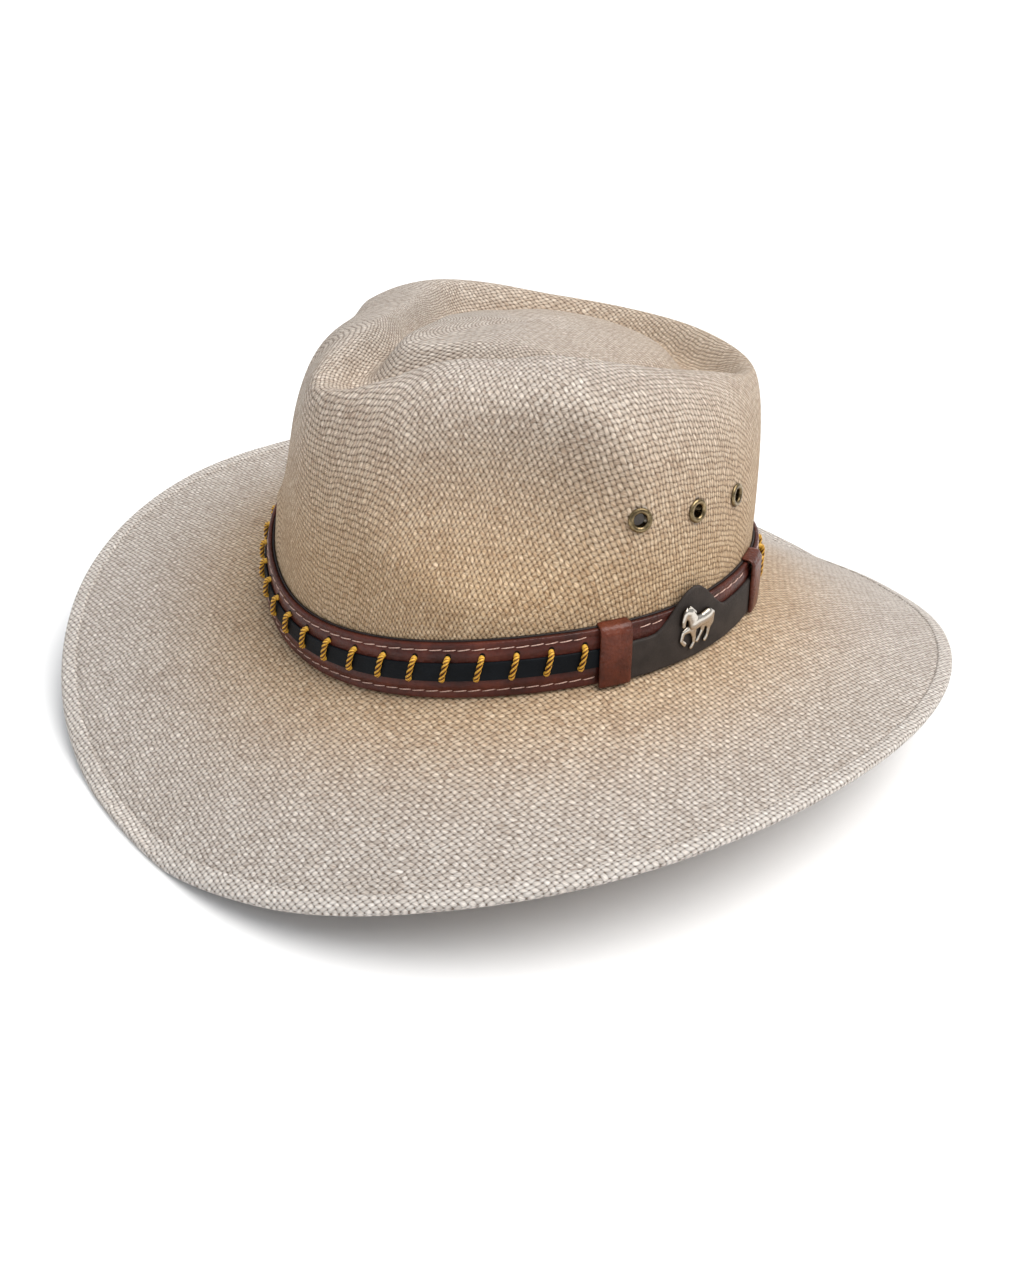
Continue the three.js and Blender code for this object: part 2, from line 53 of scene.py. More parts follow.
# Brim
BRIM_LENGTH = 348.0
BRIM_WIDTH = 326.0
BRIM_SQUARENESS = 2.2
BRIM_SIDE_LIFT = 39.9
BRIM_ARCH = 2.5
BRIM_TROUGH = 4.0
STRAW_WALL = 1.9
HEM_WIDTH = 5.0
HEM_STEP = 1.2
HEM_RAISE = 0.6
HEM_ROUND = 1.3
HEM_GROOVE = 0.25
REST_PRESS = 2.8
HEM_THICKNESS = STRAW_WALL + 2 * HEM_RAISE

# Crown
SEAM_FRONT = 96.2
SEAM_BACK = 93.0
SEAM_WIDTH = 179.0
SEAM_HEIGHT = 50.2
SEAM_DROP_FRONT = 11.6
SEAM_DROP_BACK = 13.0
SEAM_DROP_BEND = 4
CROWN_HEIGHT = 97.4
WALL_LEAN = 0.22
SHOULDER_TIGHTNESS = 1.86
DOME_HEIGHT = 93.7
DOME_FALL = 4.6
DOME_TILT = 7.8
VALLEY_DEPTH = 8.2
VALLEY_REACH = 0.42

# Front pinches
PINCH_ANGLE = 46.0
PINCH_SPREAD = 33.0
PINCH_MIDDLE = 61.6
PINCH_BELOW = 37.0
PINCH_ABOVE = 36.0
PINCH_DEPTH = 16.0
PINCH_SOFTNESS = 1.6

# Band
PIECE_GAP = 0.25
BAND_HEIGHT = 20.3
BACKING_THICKNESS = 0.7
BACKING_SHOW = 0.3
STRAP_THICKNESS = 1.4
STRIP_THICKNESS = 0.7
STRIP_WIDTH = 6.6
STRIP_MIDDLE = 10.2
LACE_THICKNESS = 2.0
LACE_SLANT = 1.4
LACE_RISE = 0.2
LACE_COUNT = 44
BACKING_INNER = PIECE_GAP
BACKING_OUTER = BACKING_INNER + BACKING_THICKNESS
STRAP_INNER = BACKING_OUTER + PIECE_GAP
STRAP_OUTER = STRAP_INNER + STRAP_THICKNESS
STRIP_INNER = STRAP_OUTER + PIECE_GAP

# Plate and keepers
KEEPER_WIDTH = 11.8
KEEPER_THICKNESS = 1.2
KEEPER_OVERHANG = 0.8
KEEPER_CORNER = 1.6
KEEPER_EDGE = 1.6
KEEPER_BULGE = 0.5
KEEPER_FRONT_ANGLE = 69.9
KEEPER_REAR_ANGLE = 119.0
PLATE_THICKNESS = 1.1
PLATE_HEIGHT = 13.8
PLATE_TUCK = 4.0
PLATE_EDGE = 0.5
PLATE_RAGGEDNESS = 0.14
HUMP_HEIGHT = 13.2
HUMP_HALF_WIDTH = 19.5
HUMP_ANGLE = 90.6
PLATE_INNER = STRAP_OUTER + PIECE_GAP
KEEPER_INNER = PLATE_INNER + max(PLATE_THICKNESS, STRIP_THICKNESS) + PIECE_GAP

# Eyelets
EYELET_BORE = 4.4
EYELET_TUBE = 5.6
EYELET_FLANGE = 8.4
EYELET_FLANGE_THICKNESS = 0.8
EYELET_HEIGHT = 54.3
EYELET_DROP = 2.3
EYELET_FIRST_ANGLE = 76.6
EYELET_SPACING = 24.0

# Cloth: distance from the middle of each cloth to a point of the hat, and its twist round the middle
# as (degrees, swing in degrees, phase in degrees)
THREAD_PITCH = 1.8
CROWN_CREST_REACH = 105.7
CROWN_STRETCH = 0.88
CROWN_TWIST = (0.5, 13.2, 24.2)
BRIM_SEAM_REACH = 98.5
BRIM_STRETCH = 1.04
BRIM_TWIST = (3.1, 4.9, 32.5)
# How far out from the band the brim is tan and darkened by painted shade
TAN_AND_SHADE_REACH = 36.0
THREAD_FILL = 2.1
THREAD_WAVE = 0.3
THREAD_ROUND = 0.6

# Stitches of the strap
STITCH_LENGTH = 4.4
STITCH_PITCH = 4.85
STITCH_THICKNESS = 0.45
STITCH_TOP = 2.3
STITCH_BOTTOM = 2.8
STITCH_RISE = 0.2
GROOVE_DEPTH = 0.22
GROOVE_WIDTH = 0.6
PUFF_DEPTH = 0.35
PUFF_WIDTH = 1.7
STITCH_SINK = 0.3
STITCH_ARCH = 0.32
STITCH_WOBBLE = 0.08
STITCH_TILT = 0.1
STITCH_TAPER = 0.15

# Twisted cords, and the holes that they go through, which are near-black discs of painted shade
STRANDS = 3
STRAND_TURNS = 4.8
STRAND_SIDES = 8
STRAND_SHARE = 0.52
CORD_TUCK = 0.9
CORD_SINK = 0.6
CORD_BEND = 0.8
HOLE_RADIUS = 0.95
HOLE_SHIFT = 0.8
HOLE_DEPTH = 0.6

# Horse
HORSE_HEIGHT = 16.5
HORSE_LENGTH = 17.0
HORSE_ANGLE = 91.0
HORSE_LIFT = 4.0
HORSE_VOXEL = 0.2
HORSE_FLATNESS = 0.62
HORSE_NEAR_LIFT = 0.45

# Camera, fitted to the photo's outline. It sees from CAMERA_NEAR to CAMERA_FAR, in metres.
CAMERA_AZIMUTH = 47.72
CAMERA_ELEVATION = 32.68
CAMERA_DISTANCE = 500.0
CAMERA_TARGET_HEIGHT = 60.0
CAMERA_ASIDE = 0.47
CAMERA_RISE = -42.51
CAMERA_ROLL = 2.94
CAMERA_LENS = 36.06
CAMERA_SENSOR = 36.0
CAMERA_NEAR = 0.01
CAMERA_FAR = 100.0

# Light: a white surround that is brightest overhead, a wide sun from the camera's right, and a small
# window at its left. Places and sizes are in metres.
SURROUND_COLOR = (0.95, 0.975, 1.0)
HORIZON_LIGHT = 0.34
ZENITH_LIGHT = 0.88
SUN_LIGHT = 2.9
SUN_WIDTH = 50.0
SUN_FROM = (0.62, 0.42, 1.3)
SUN_COLOR = (1.0, 0.975, 0.94)
WINDOW_LIGHT = 0.6
WINDOW_COLOR = (0.82, 0.9, 1.0)
WINDOW_PLACE = (-0.5, -1.0, 0.9)
WINDOW_TARGET = (0, 0, 0.06)
WINDOW_SIZE = 0.5
FLOOR_SIZE = 60
FLOOR_COLOR = (0.93, 0.93, 0.935)

# Fineness
COLUMNS = 480
TOP_ROWS = 44
WALL_ROWS = 46
BRIM_ROWS = 34
HEM_STEP_ROWS = 7
EDGE_ROWS = 9
UNDER_ROWS = 14
INSIDE_ROWS = 30
RING_STATIONS = 360
SECTION_STATIONS = 40
CORD_STATIONS = 44
STITCH_STATIONS = 9
STITCH_SIDES = 7
KEEPER_STATIONS = 26
PLATE_STATIONS = 150
HOLE_SIDES = 16
EYELET_SIDES = 56
CUTTER_SIDES = 40
LIMB_STEPS = 8

# The rows of the crown go from 0 at the seam over 1 at the crest to 2 at the middle of the top
LAST_WAY = 1.98
FIRST_INSIDE_WAY = 0.1

# Share of its thickness that a keeper or the plate has at its very edge
EDGE_SHARE = 0.35

# Radius at the axis of a lathed piece that is closed there
AXIS = 0.01

# A direction that no cord or stitch starts along
SIDEWAYS = (0.3, 0.5, 0.81)

# Rows at even angles from the front to the back
EDGE_LIFT = (0, 0.295, 0.737, 0.98, 1, 0.925, 0.69, 0.285, 0)
CREST_SPREAD = (0.9, 0.61, 0.5, 0.47, 0.53, 0.63, 0.728, 0.89, 0.955, 0.965)
CREST_HEIGHT = (0.905, 0.99, 0.99, 0.995, 0.98, 0.943, 0.886, 0.803, 0.771, 0.769)

dice = random.Random(SEED)


def mix(start, end, share):
    return start + (end - start) * share


def smooth_step(share):
    share = np.clip(share, 0, 1)
    return share * share * (3 - 2 * share)


def polar(angle, radius, height):
    turn = np.radians(angle)
    return np.stack(np.broadcast_arrays(radius * np.sin(turn), -radius * np.cos(turn), height), -1)


def unit(vectors):
    return vectors / np.linalg.norm(vectors, axis=-1, keepdims=True)


def curve_between(before, start, end, after, share):
    """Smooth curve from start to end, with the values before and after them."""
    curve = (
        (end - before) * share
        + (2 * before - 5 * start + 4 * end - after) * share**2
        + (3 * start - before - 3 * end + after) * share**3
    )
    return start + curve / 2


def oval_radius(angle, length, width, squareness):
    along = np.abs(np.cos(np.radians(angle))) / (length / 2)
    across = np.abs(np.sin(np.radians(angle))) / (width / 2)
    return (along**squareness + across**squareness) ** (-1 / squareness)


def folded(angle):
    return np.abs((np.asarray(angle, float) % 360 + 540) % 360 - 180)


def table_value(column, angle):
    """Smooth value of a column at an angle. Both sides of the hat are alike."""
    values = np.array(column, float)
    last = len(values) - 1
    position = folded(angle) / 180 * last
    row = np.minimum(position.astype(int), last - 1)
    share = position - row

    def value(index):
        index = np.abs(index)
        return values[np.where(index > last, 2 * last - index, index)]

    return curve_between(value(row - 1), value(row), value(row + 1), value(row + 2), share)


# Brim
def edge_radius(angle):
    return oval_radius(angle, BRIM_LENGTH, BRIM_WIDTH, BRIM_SQUARENESS)


def seam_radius(angle):
    reach = np.where(np.cos(np.radians(angle)) > 0, SEAM_FRONT, SEAM_BACK)
    return oval_radius(angle, 2 * reach, SEAM_WIDTH, 2)


def seam_level(angle):
    forward = np.cos(np.radians(angle))
    drop = np.where(forward > 0, SEAM_DROP_FRONT, SEAM_DROP_BACK)
    return SEAM_HEIGHT - drop * np.abs(forward) ** SEAM_DROP_BEND


def brim_top(angle, share):
    forward = np.cos(np.radians(angle)) ** 2
    bulge = mix(-BRIM_TROUGH, BRIM_ARCH, forward) * 4 * share * (1 - share)
    edge = BRIM_SIDE_LIFT * table_value(EDGE_LIFT, angle) + HEM_THICKNESS - REST_PRESS
    return mix(edge - HEM_RAISE, seam_level(angle), share) + bulge


def brim_point(angle, inside, raised, sunk):
    run = edge_radius(angle) - seam_radius(angle)
    upper = np.maximum(brim_top(angle, inside / run) + raised, HEM_THICKNESS)
    lower = np.maximum(upper - sunk, 0) if sunk > 0 else upper
    return polar(angle, edge_radius(angle) - inside, lower)


# Crown
def crest_radius(angle):
    return seam_radius(angle) * table_value(CREST_SPREAD, angle)


def crest_level(angle):
    return SEAM_HEIGHT + CROWN_HEIGHT * table_value(CREST_HEIGHT, angle)


def wall_radius(angle, turn):
    rounding = (1 - np.cos(turn)) ** SHOULDER_TIGHTNESS
    share = WALL_LEAN * np.sin(turn) + (1 - WALL_LEAN) * rounding
    return mix(seam_radius(angle), crest_radius(angle), share)


def pinch(angle, height):
    sideways = (folded(angle) - PINCH_ANGLE) / PINCH_SPREAD
    above = height - SEAM_HEIGHT - PINCH_MIDDLE
    upright = above / np.where(above > 0, PINCH_ABOVE, PINCH_BELOW)
    distance = np.minimum(np.hypot(sideways, upright), 1)
    return PINCH_DEPTH * (1 - distance**2) ** PINCH_SOFTNESS


def crown_wall(angle, way):
    turn = way * math.pi / 2
    height = mix(seam_level(angle), crest_level(angle), np.sin(turn))
    return polar(angle, wall_radius(angle, turn) - pinch(angle, height), height)


def crown_top(angle, way):
    inward = way - 1
    across = min(inward / VALLEY_REACH, 1)
    groove = math.sin(math.pi * across) ** 2
    outward = (1 - inward) / (1 - VALLEY_REACH)
    tilt = DOME_TILT * outward * np.cos(np.radians(angle))
    dome = SEAM_HEIGHT + DOME_HEIGHT - DOME_FALL * outward**2 + tilt
    height = mix(crest_level(angle), dome, smooth_step(across)) - VALLEY_DEPTH * groove
    return polar(angle, (crest_radius(angle) - pinch(angle, crest_level(angle))) * (1 - inward), height)


def crown_point(angle, way):
    return crown_wall(angle, way) if way <= 1 else crown_top(angle, way)


def crown_normal(angle, way):
    if way >= 2:
        return np.broadcast_to([0.0, 0.0, 1.0], np.shape(angle) + (3,))
    step = 0.01
    along = crown_point(angle + 1, way) - crown_point(angle - 1, way)
    up = crown_point(angle, min(way + step, 2 - step)) - crown_point(angle, max(way - step, 0))
    normal = np.cross(along, up)
    if way == 0:
        normal[..., 2] = 0
    return unit(normal)


def crown_inside(angle, way):
    return crown_point(angle, way) - STRAW_WALL * crown_normal(angle, way)


def crown_radius_at(angle, height):
    rise = (height - seam_level(angle)) / (crest_level(angle) - seam_level(angle))
    turn = np.arcsin(np.clip(rise, 0, 1))
    return wall_radius(angle, turn) - pinch(angle, height)


# Band
def band_low(angle):
    return seam_level(angle) + PIECE_GAP


def band_radius(angle, above):
    foot = crown_radius_at(angle, band_low(angle))
    head = crown_radius_at(angle, band_low(angle) + BAND_HEIGHT)
    return mix(foot, head, above / BAND_HEIGHT)


def band_point(angle, above, offset):
    return polar(angle, band_radius(angle, above) + offset, band_low(angle) + above)


def half_angle(angle, width):
    return math.degrees(width / 2 / (float(band_radius(angle, 0)) + STRAP_OUTER))


def plate_top(angle):
    away = (angle - HUMP_ANGLE) / (2 * half_angle(HUMP_ANGLE, HUMP_HALF_WIDTH))
    share = np.minimum(np.abs(away), 1)
    return PLATE_HEIGHT + HUMP_HEIGHT * np.cos(share * math.pi / 2) ** 2


# Meshes
def closed_mesh(name, points, faces):
    """A mesh of closed shells that face outward. points are in millimetres."""
    mesh = bpy.data.meshes.new(name)
    mesh.from_pydata([tuple(point) for point in np.asarray(points) * MM], [], faces)
    shells = bmesh.new()
    shells.from_mesh(mesh)
    bmesh.ops.recalc_face_normals(shells, faces=shells.faces)
    shells.to_mesh(mesh)
    shells.free()
    return mesh


def new_piece(name, points, faces, material, slot, nodes=()):
    """A smooth mesh object of the part, riding on the hat."""
    mesh = closed_mesh(name, points, faces)
    mesh.materials.append(material)
    mesh.polygons.foreach_set("use_smooth", [True] * len(mesh.polygons))
    piece = bpy.data.objects.new(name, mesh)
    bpy.context.scene.collection.objects.link(piece)
    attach(piece, "root")
    if nodes:
        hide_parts(*nodes)
    return piece


def add_attribute(mesh, name, values):
    """Stores a number at each point of a mesh, for its material."""
    attribute = mesh.attributes.new(name, "FLOAT", "POINT")
    attribute.data.foreach_set("value", np.asarray(values, np.float32))


def grid_faces(rows, columns, closed_rows=False, closed_columns=False):
    """Quads of a grid whose points are stored row by row."""
    faces = []
    for row in range(rows if closed_rows else rows - 1):
        below = (row + 1) % rows
        for column in range(columns if closed_columns else columns - 1):
            beside = (column + 1) % columns
            faces.append((
                row * columns + column,
                below * columns + column,
                below * columns + beside,
                row * columns + beside,
            ))
    return faces


def join_grids(grids):
    """One mesh from several (points, faces)."""
    points = []
    faces = []
    start = 0
    for some_points, some_faces in grids:
        points.append(some_points)
        faces.extend(tuple(start + index for index in face) for face in some_faces)
        start += len(some_points)
    return np.concatenate(points), faces


def rounded_section(inner, outer, low, high, corner, grooves=(), puffs=()):
    """Closed outline of (offset, above) pairs: a strip with rounded outer corners.

    grooves are the heights of its stitches, and puffs those where it is padded.
    """
    turns = np.linspace(0, math.pi / 2, 5)
    heights = np.linspace(low + corner, high - corner, SECTION_STATIONS)
    face = np.full_like(heights, outer)
    for middle in grooves:
        face -= GROOVE_DEPTH * np.exp(-(((heights - middle) / GROOVE_WIDTH) ** 2))
    for middle in puffs:
        face += PUFF_DEPTH * np.exp(-(((heights - middle) / PUFF_WIDTH) ** 2))
    lower = [(outer - corner + corner * math.sin(t), low + corner - corner * math.cos(t)) for t in turns]
    upper = [(outer - corner + corner * math.cos(t), high - corner + corner * math.sin(t)) for t in turns]
    return [(inner, low), *lower, *zip(face[1:-1], heights[1:-1]), *upper, (inner, high)]


def band_ring(section, angles, closed):
    """Sweep of a section round the hat, with flat ends where it is open."""
    points = np.concatenate([
        band_point(np.full(len(section), angle), np.array([above for _, above in section]),
                   np.array([offset for offset, _ in section]))
        for angle in angles
    ])
    faces = grid_faces(len(angles), len(section), closed_rows=closed, closed_columns=True)
    if not closed:
        size = len(section)
        faces.append(tuple(range(size)))
        faces.append(tuple(reversed(range(len(points) - size, len(points)))))
    return points, faces


def whole_ring_angles():
    return np.arange(RING_STATIONS) * 360 / RING_STATIONS


def even_lengths(start, end, above, offset, spacing=None, count=None):
    """Angles at the middles of even lengths along the band from one angle to another."""
    trace = np.linspace(start, end, 721)
    points = band_point(trace, np.full_like(trace, above), np.full_like(trace, offset))
    lengths = np.concatenate([[0], np.cumsum(np.linalg.norm(np.diff(points, axis=0), axis=1))])
    number = count or round(lengths[-1] / spacing)
    wanted = (np.arange(number) + 0.5) * lengths[-1] / number
    return np.interp(wanted, lengths, trace)


# Materials
def new_material(name):
    material = bpy.data.materials.new(name)
    material.use_nodes = True
    return material, Nodes(material.node_tree)


class Nodes:
    """Short calls for the nodes of one material."""

    def __init__(self, tree):
        self.tree = tree
        self.shader = tree.nodes["Principled BSDF"]

    def link(self, source, target):
        if hasattr(source, "is_output"):
            self.tree.links.new(source, target)
        else:
            target.default_value = source

    def math(self, operation, *values):
        node = self.tree.nodes.new("ShaderNodeMath")
        node.operation = operation
        for index, value in enumerate(values):
            self.link(value, node.inputs[index])
        return node.outputs[0]

    def plus(self, value, other):
        return self.math("ADD", value, other)

    def minus(self, value, other):
        return self.math("SUBTRACT", value, other)

    def times(self, value, other):
        return self.math("MULTIPLY", value, other)

    def times_plus(self, value, other, added):
        return self.math("MULTIPLY_ADD", value, other, added)

    def vector(self, x, y, z=0.0):
        node = self.tree.nodes.new("ShaderNodeCombineXYZ")
        for index, value in enumerate((x, y, z)):
            self.link(value, node.inputs[index])
        return node.outputs[0]

    def split(self, vector):
        node = self.tree.nodes.new("ShaderNodeSeparateXYZ")
        self.link(vector, node.inputs[0])
        return node.outputs

    def pick(self, share, first, second):
        """first where share is 0, and second where it is 1."""
        node = self.tree.nodes.new("ShaderNodeMix")
        self.link(share, node.inputs[0])
        self.link(first, node.inputs[2])
        self.link(second, node.inputs[3])
        return node.outputs[0]

    def gray(self, value):
        node = self.tree.nodes.new("ShaderNodeCombineColor")
        for index in range(3):
            self.link(value, node.inputs[index])
        return node.outputs[0]

    def scale(self, vector, factors):
        node = self.tree.nodes.new("ShaderNodeVectorMath")
        node.operation = "MULTIPLY"
        self.link(vector, node.inputs[0])
        node.inputs[1].default_value = factors
        return node.outputs[0]

    def coordinates(self):
        return self.tree.nodes.new("ShaderNodeTexCoord").outputs["Object"]

    def cloth(self):
        node = self.tree.nodes.new("ShaderNodeUVMap")
        node.uv_map = "cloth"
        return node.outputs[0]

    def attribute(self, name):
        node = self.tree.nodes.new("ShaderNodeAttribute")
        node.attribute_name = name
        return node.outputs["Fac"]

    def noise(self, vector, scale, detail=2.0, roughness=0.5):
        node = self.tree.nodes.new("ShaderNodeTexNoise")
        self.link(vector, node.inputs["Vector"])
        node.inputs["Scale"].default_value = scale
        node.inputs["Detail"].default_value = detail
        node.inputs["Roughness"].default_value = roughness
        return node.outputs["Fac"]

    def white(self, value):
        node = self.tree.nodes.new("ShaderNodeTexWhiteNoise")
        node.noise_dimensions = "1D"
        self.link(value, node.inputs["W"])
        return node.outputs["Value"]

    def cells(self, vector, scale):
        node = self.tree.nodes.new("ShaderNodeTexVoronoi")
        self.link(vector, node.inputs["Vector"])
        node.inputs["Scale"].default_value = scale
        return node.outputs["Distance"]

    def remap(self, value, low, high, to_low=0.0, to_high=1.0):
        node = self.tree.nodes.new("ShaderNodeMapRange")
        self.link(value, node.inputs[0])
        for index, number in enumerate((low, high, to_low, to_high), start=1):
            node.inputs[index].default_value = number
        return node.outputs[0]

    def ramp(self, value, stops):
        node = self.tree.nodes.new("ShaderNodeValToRGB")
        self.link(value, node.inputs[0])
        elements = node.color_ramp.elements
        while len(elements) < len(stops):
            elements.new(0.5)
        for element, (position, color) in zip(elements, stops):
            element.position = position
            element.color = (*color, 1)
        return node.outputs[0]

    def blend(self, share, first, second, mode="MIX"):
        node = self.tree.nodes.new("ShaderNodeMix")
        node.data_type = "RGBA"
        node.blend_type = mode
        self.link(share, node.inputs[0])
        for value, target in ((first, node.inputs[6]), (second, node.inputs[7])):
            if isinstance(value, tuple):
                target.default_value = (*value, 1)
            else:
                self.link(value, target)
        return node.outputs[2]

    def bump(self, height, distance, strength):
        node = self.tree.nodes.new("ShaderNodeBump")
        node.inputs["Strength"].default_value = strength
        node.inputs["Distance"].default_value = distance
        self.link(height, node.inputs["Height"])
        return node.outputs[0]

    def finish(self, **inputs):
        names = {
            "color": "Base Color",
            "rough": "Roughness",
            "metal": "Metallic",
            "normal": "Normal",
            "specular": "Specular IOR Level",
        }
        for key, value in inputs.items():
            target = self.shader.inputs[names[key]]
            if isinstance(value, tuple):
                target.default_value = (*value, 1)
            else:
                self.link(value, target)


# Straw: tones from the darkest fibres to the palest, and the painted shade of the gaps between the threads
BRIM_TONES = (
    (0.33, (0.32, 0.26, 0.215)),
    (0.5, (0.54, 0.48, 0.43)),
    (0.67, (0.75, 0.70, 0.655)),
)
CROWN_TONES = (
    (0.33, (0.31, 0.175, 0.085)),
    (0.5, (0.52, 0.36, 0.212)),
    (0.67, (0.74, 0.57, 0.39)),
)
BRIM_GAP_SHADE = (0.13, 0.085, 0.055)
CROWN_GAP_SHADE = (0.12, 0.055, 0.02)
HEM_TONE = (0.86, 0.82, 0.78)
HEM_SHARE = 0.22
WEFT_SHADE = 0.84
THREAD_SHARE = 0.1
BUMP_SHARE = 0.09
PATCH_SHARE = 0.1
FIBRE_SHARE = 0.7

# Wandering of the threads, in threads, over long and over short ways
WANDER = 1.2
WOBBLE = 0.45

# Factors without a common ratio, so that each bump of the weave draws a number of its own
COLUMN_FACTOR = 12.9898
ROW_FACTOR = 78.233
LINE_FACTOR = 50.0

# Relief of the weave in millimetres, and of the fibres as a share of it
WEAVE_RELIEF = 0.5
FIBRE_RELIEF = 0.12


def straw_material():
    """Plain weave: two sets of round threads, each waving over and under the other set."""
    material, n = new_material("straw_weave")
    across, along = n.split(n.cloth())[:2]
    wander = n.minus(n.noise(n.cloth(), 0.23, 1.0), 0.5)
    sway = n.minus(n.noise(n.scale(n.cloth(), (0.7, 1.3, 1.0)), 0.31, 1.0), 0.5)
    wobble = n.minus(n.noise(n.cloth(), 0.8, 2.0), 0.5)
    across = n.times_plus(wander, WANDER, n.times_plus(wobble, WOBBLE, across))
    along = n.times_plus(sway, WANDER, n.times_plus(wobble, -WOBBLE, along))
    column = n.math("FLOOR", across)
    row = n.math("FLOOR", along)
    odd_column = n.math("FLOORED_MODULO", column, 2.0)
    even_row = n.minus(1.0, n.math("FLOORED_MODULO", row, 2.0))

    def thread(from_middle, way, odd):
        """Height of a thread, given the distance from its middle line and the way along it."""
        share = n.times(from_middle, THREAD_FILL)
        section = n.math("SQRT", n.math("MAXIMUM", n.times_plus(share, n.times(share, -1.0), 1.0), 0.0))
        wave = n.math("SINE", n.times(n.plus(way, odd), math.pi))
        return n.times_plus(wave, THREAD_WAVE, n.times(section, THREAD_ROUND))

    def bump_number(way, odd):
        """Number of the nearest place where a thread lies on top."""
        pairs = n.times(n.minus(n.minus(way, 0.5), odd), 0.5)
        return n.times_plus(n.math("ROUND", pairs), 2.0, odd)

    from_column = n.minus(n.minus(across, column), 0.5)
    from_row = n.minus(n.minus(along, row), 0.5)
    upright = thread(from_column, along, odd_column)
    level = thread(from_row, across, even_row)
    over = n.math("GREATER_THAN", upright, level)
    height = n.math("MAXIMUM", upright, level)
    beside = n.pick(over, from_row, from_column)
    lengthwise = n.pick(over, across, along)
    line = n.times(n.white(n.pick(over, n.plus(row, 0.4), column)), LINE_FACTOR)
    twisted = n.times_plus(lengthwise, 0.5, beside)
    fibres = n.noise(n.vector(n.times(twisted, 7.0), n.times(lengthwise, 0.8), line), 1.0)

    # Tone of each bump, and of each thread along its way
    thread_tone = n.noise(n.vector(n.times(lengthwise, 0.09), line), 1.0, 1.0)
    bump_column = n.pick(over, bump_number(across, even_row), column)
    bump_row = n.pick(over, row, bump_number(along, odd_column))
    bump_tone = n.white(n.times_plus(bump_column, COLUMN_FACTOR, n.times(bump_row, ROW_FACTOR)))
    patches = n.noise(n.coordinates(), 55.0, 4.0, 0.65)
    tone = n.times(thread_tone, THREAD_SHARE)
    tone = n.times_plus(bump_tone, BUMP_SHARE, tone)
    tone = n.times_plus(patches, PATCH_SHARE, tone)
    tone = n.times_plus(fibres, FIBRE_SHARE, tone)
    # The crown's darker tones are blended in by how tan each point is, which near the band is partly
    # painted shade.
    color = n.blend(n.attribute("tan_and_shade"), n.ramp(tone, BRIM_TONES), n.ramp(tone, CROWN_TONES))
    color = n.blend(n.times(n.attribute("hem"), HEM_SHARE), color, HEM_TONE)
    # Painted shade: the colour darkens from the crests of the threads into the valleys between them, and
    # along the lines where one thread dives under the other.
    shade = n.remap(height, 0.3, 0.9, 0.45, 1.15)
    crossing_shade = n.remap(n.math("ABSOLUTE", n.minus(upright, level)), 0.0, 0.15, 0.7, 1.0)
    # The level threads are a little darker where they lie on top.
    weft = n.pick(over, WEFT_SHADE, 1.0)
    shade = n.times(n.times(shade, crossing_shade), weft)
    color = n.blend(1.0, color, n.gray(shade), "MULTIPLY")
    # Painted shade: where the weave is lowest, in the gaps between the threads, the colour turns to a dark
    # gap colour.
    gap_shade_color = n.blend(n.attribute("tan_and_shade"), BRIM_GAP_SHADE, CROWN_GAP_SHADE)
    color = n.blend(n.remap(height, 0.2, 0.52, 1.0, 0.0), color, gap_shade_color)
    n.finish(
        color=color,
        rough=n.remap(height, 0.2, 0.9, 0.85, 0.55),
        specular=0.3,
        normal=n.bump(n.times_plus(fibres, FIBRE_RELIEF, height), WEAVE_RELIEF * MM, 0.9),
    )
    return material


def leather_material(name, base, dark, light, rough):
    material, n = new_material(name)
    place = n.coordinates()
    cells = n.cells(place, 900.0)
    fine = n.noise(place, 2600.0, 2.0)
    wrinkles = n.noise(n.scale(place, (1.0, 1.0, 0.5)), 420.0, 4.0, 0.65)
    cloud = n.noise(place, 70.0, 4.0, 0.6)
    tone = n.plus(n.times(cloud, 0.75), n.times(wrinkles, 0.25))
    height = n.plus(n.times(cells, 0.9), n.times(fine, 0.35))
    height = n.plus(height, n.times(wrinkles, 1.0))
    n.finish(
        color=n.ramp(tone, [(0.36, dark), (0.52, base), (0.72, light)]),
        rough=n.remap(wrinkles, 0.3, 0.7, rough - 0.06, rough + 0.1),
        specular=0.3,
        normal=n.bump(height, 0.2 * MM, 0.7),
    )
    return material


def plain_leather_material(name, base, rough, specular=0.25):
    material, n = new_material(name)
    place = n.coordinates()
    fine = n.noise(place, 1500.0, 3.0, 0.6)
    cloud = n.noise(place, 120.0, 3.0)
    lighter = tuple(1.7 * channel for channel in base)
    n.finish(
        color=n.blend(n.remap(cloud, 0.35, 0.7), base, lighter),
        rough=n.remap(fine, 0.3, 0.7, rough - 0.05, rough + 0.08),
        specular=specular,
        normal=n.bump(fine, 0.14 * MM, 0.8),
    )
    return material


# Cords and stitches: tones of the cords from painted shade in the deepest grooves between the strands to
# painted highlights on the crests, and tones of the stitches' thread
CORD_SHADE_TONES = (
    (0.3, (0.045, 0.014, 0.002)),
    (0.62, (0.40, 0.16, 0.009)),
    (0.95, (0.82, 0.48, 0.06)),
)
THREAD_TONES = (
    (0.3, (0.36, 0.20, 0.155)),
    (0.6, (0.68, 0.47, 0.39)),
)


def cord_material():
    """Gold yarn, painted darker in the grooves between the strands and lighter on their crests: painted
    shade and painted highlights. The outward attribute is 1 on the crest of a strand and falls into the
    grooves.
    """
    material, n = new_material("gold_cord")
    crest = n.attribute("outward")
    fibres = n.noise(n.coordinates(), 2600.0, 2.0)
    shade = n.times_plus(n.minus(fibres, 0.5), 0.5, crest)
    n.finish(
        color=n.ramp(shade, CORD_SHADE_TONES),
        rough=0.4,
        specular=0.4,
        normal=n.bump(fibres, 0.06 * MM, 0.8),
    )
    return material


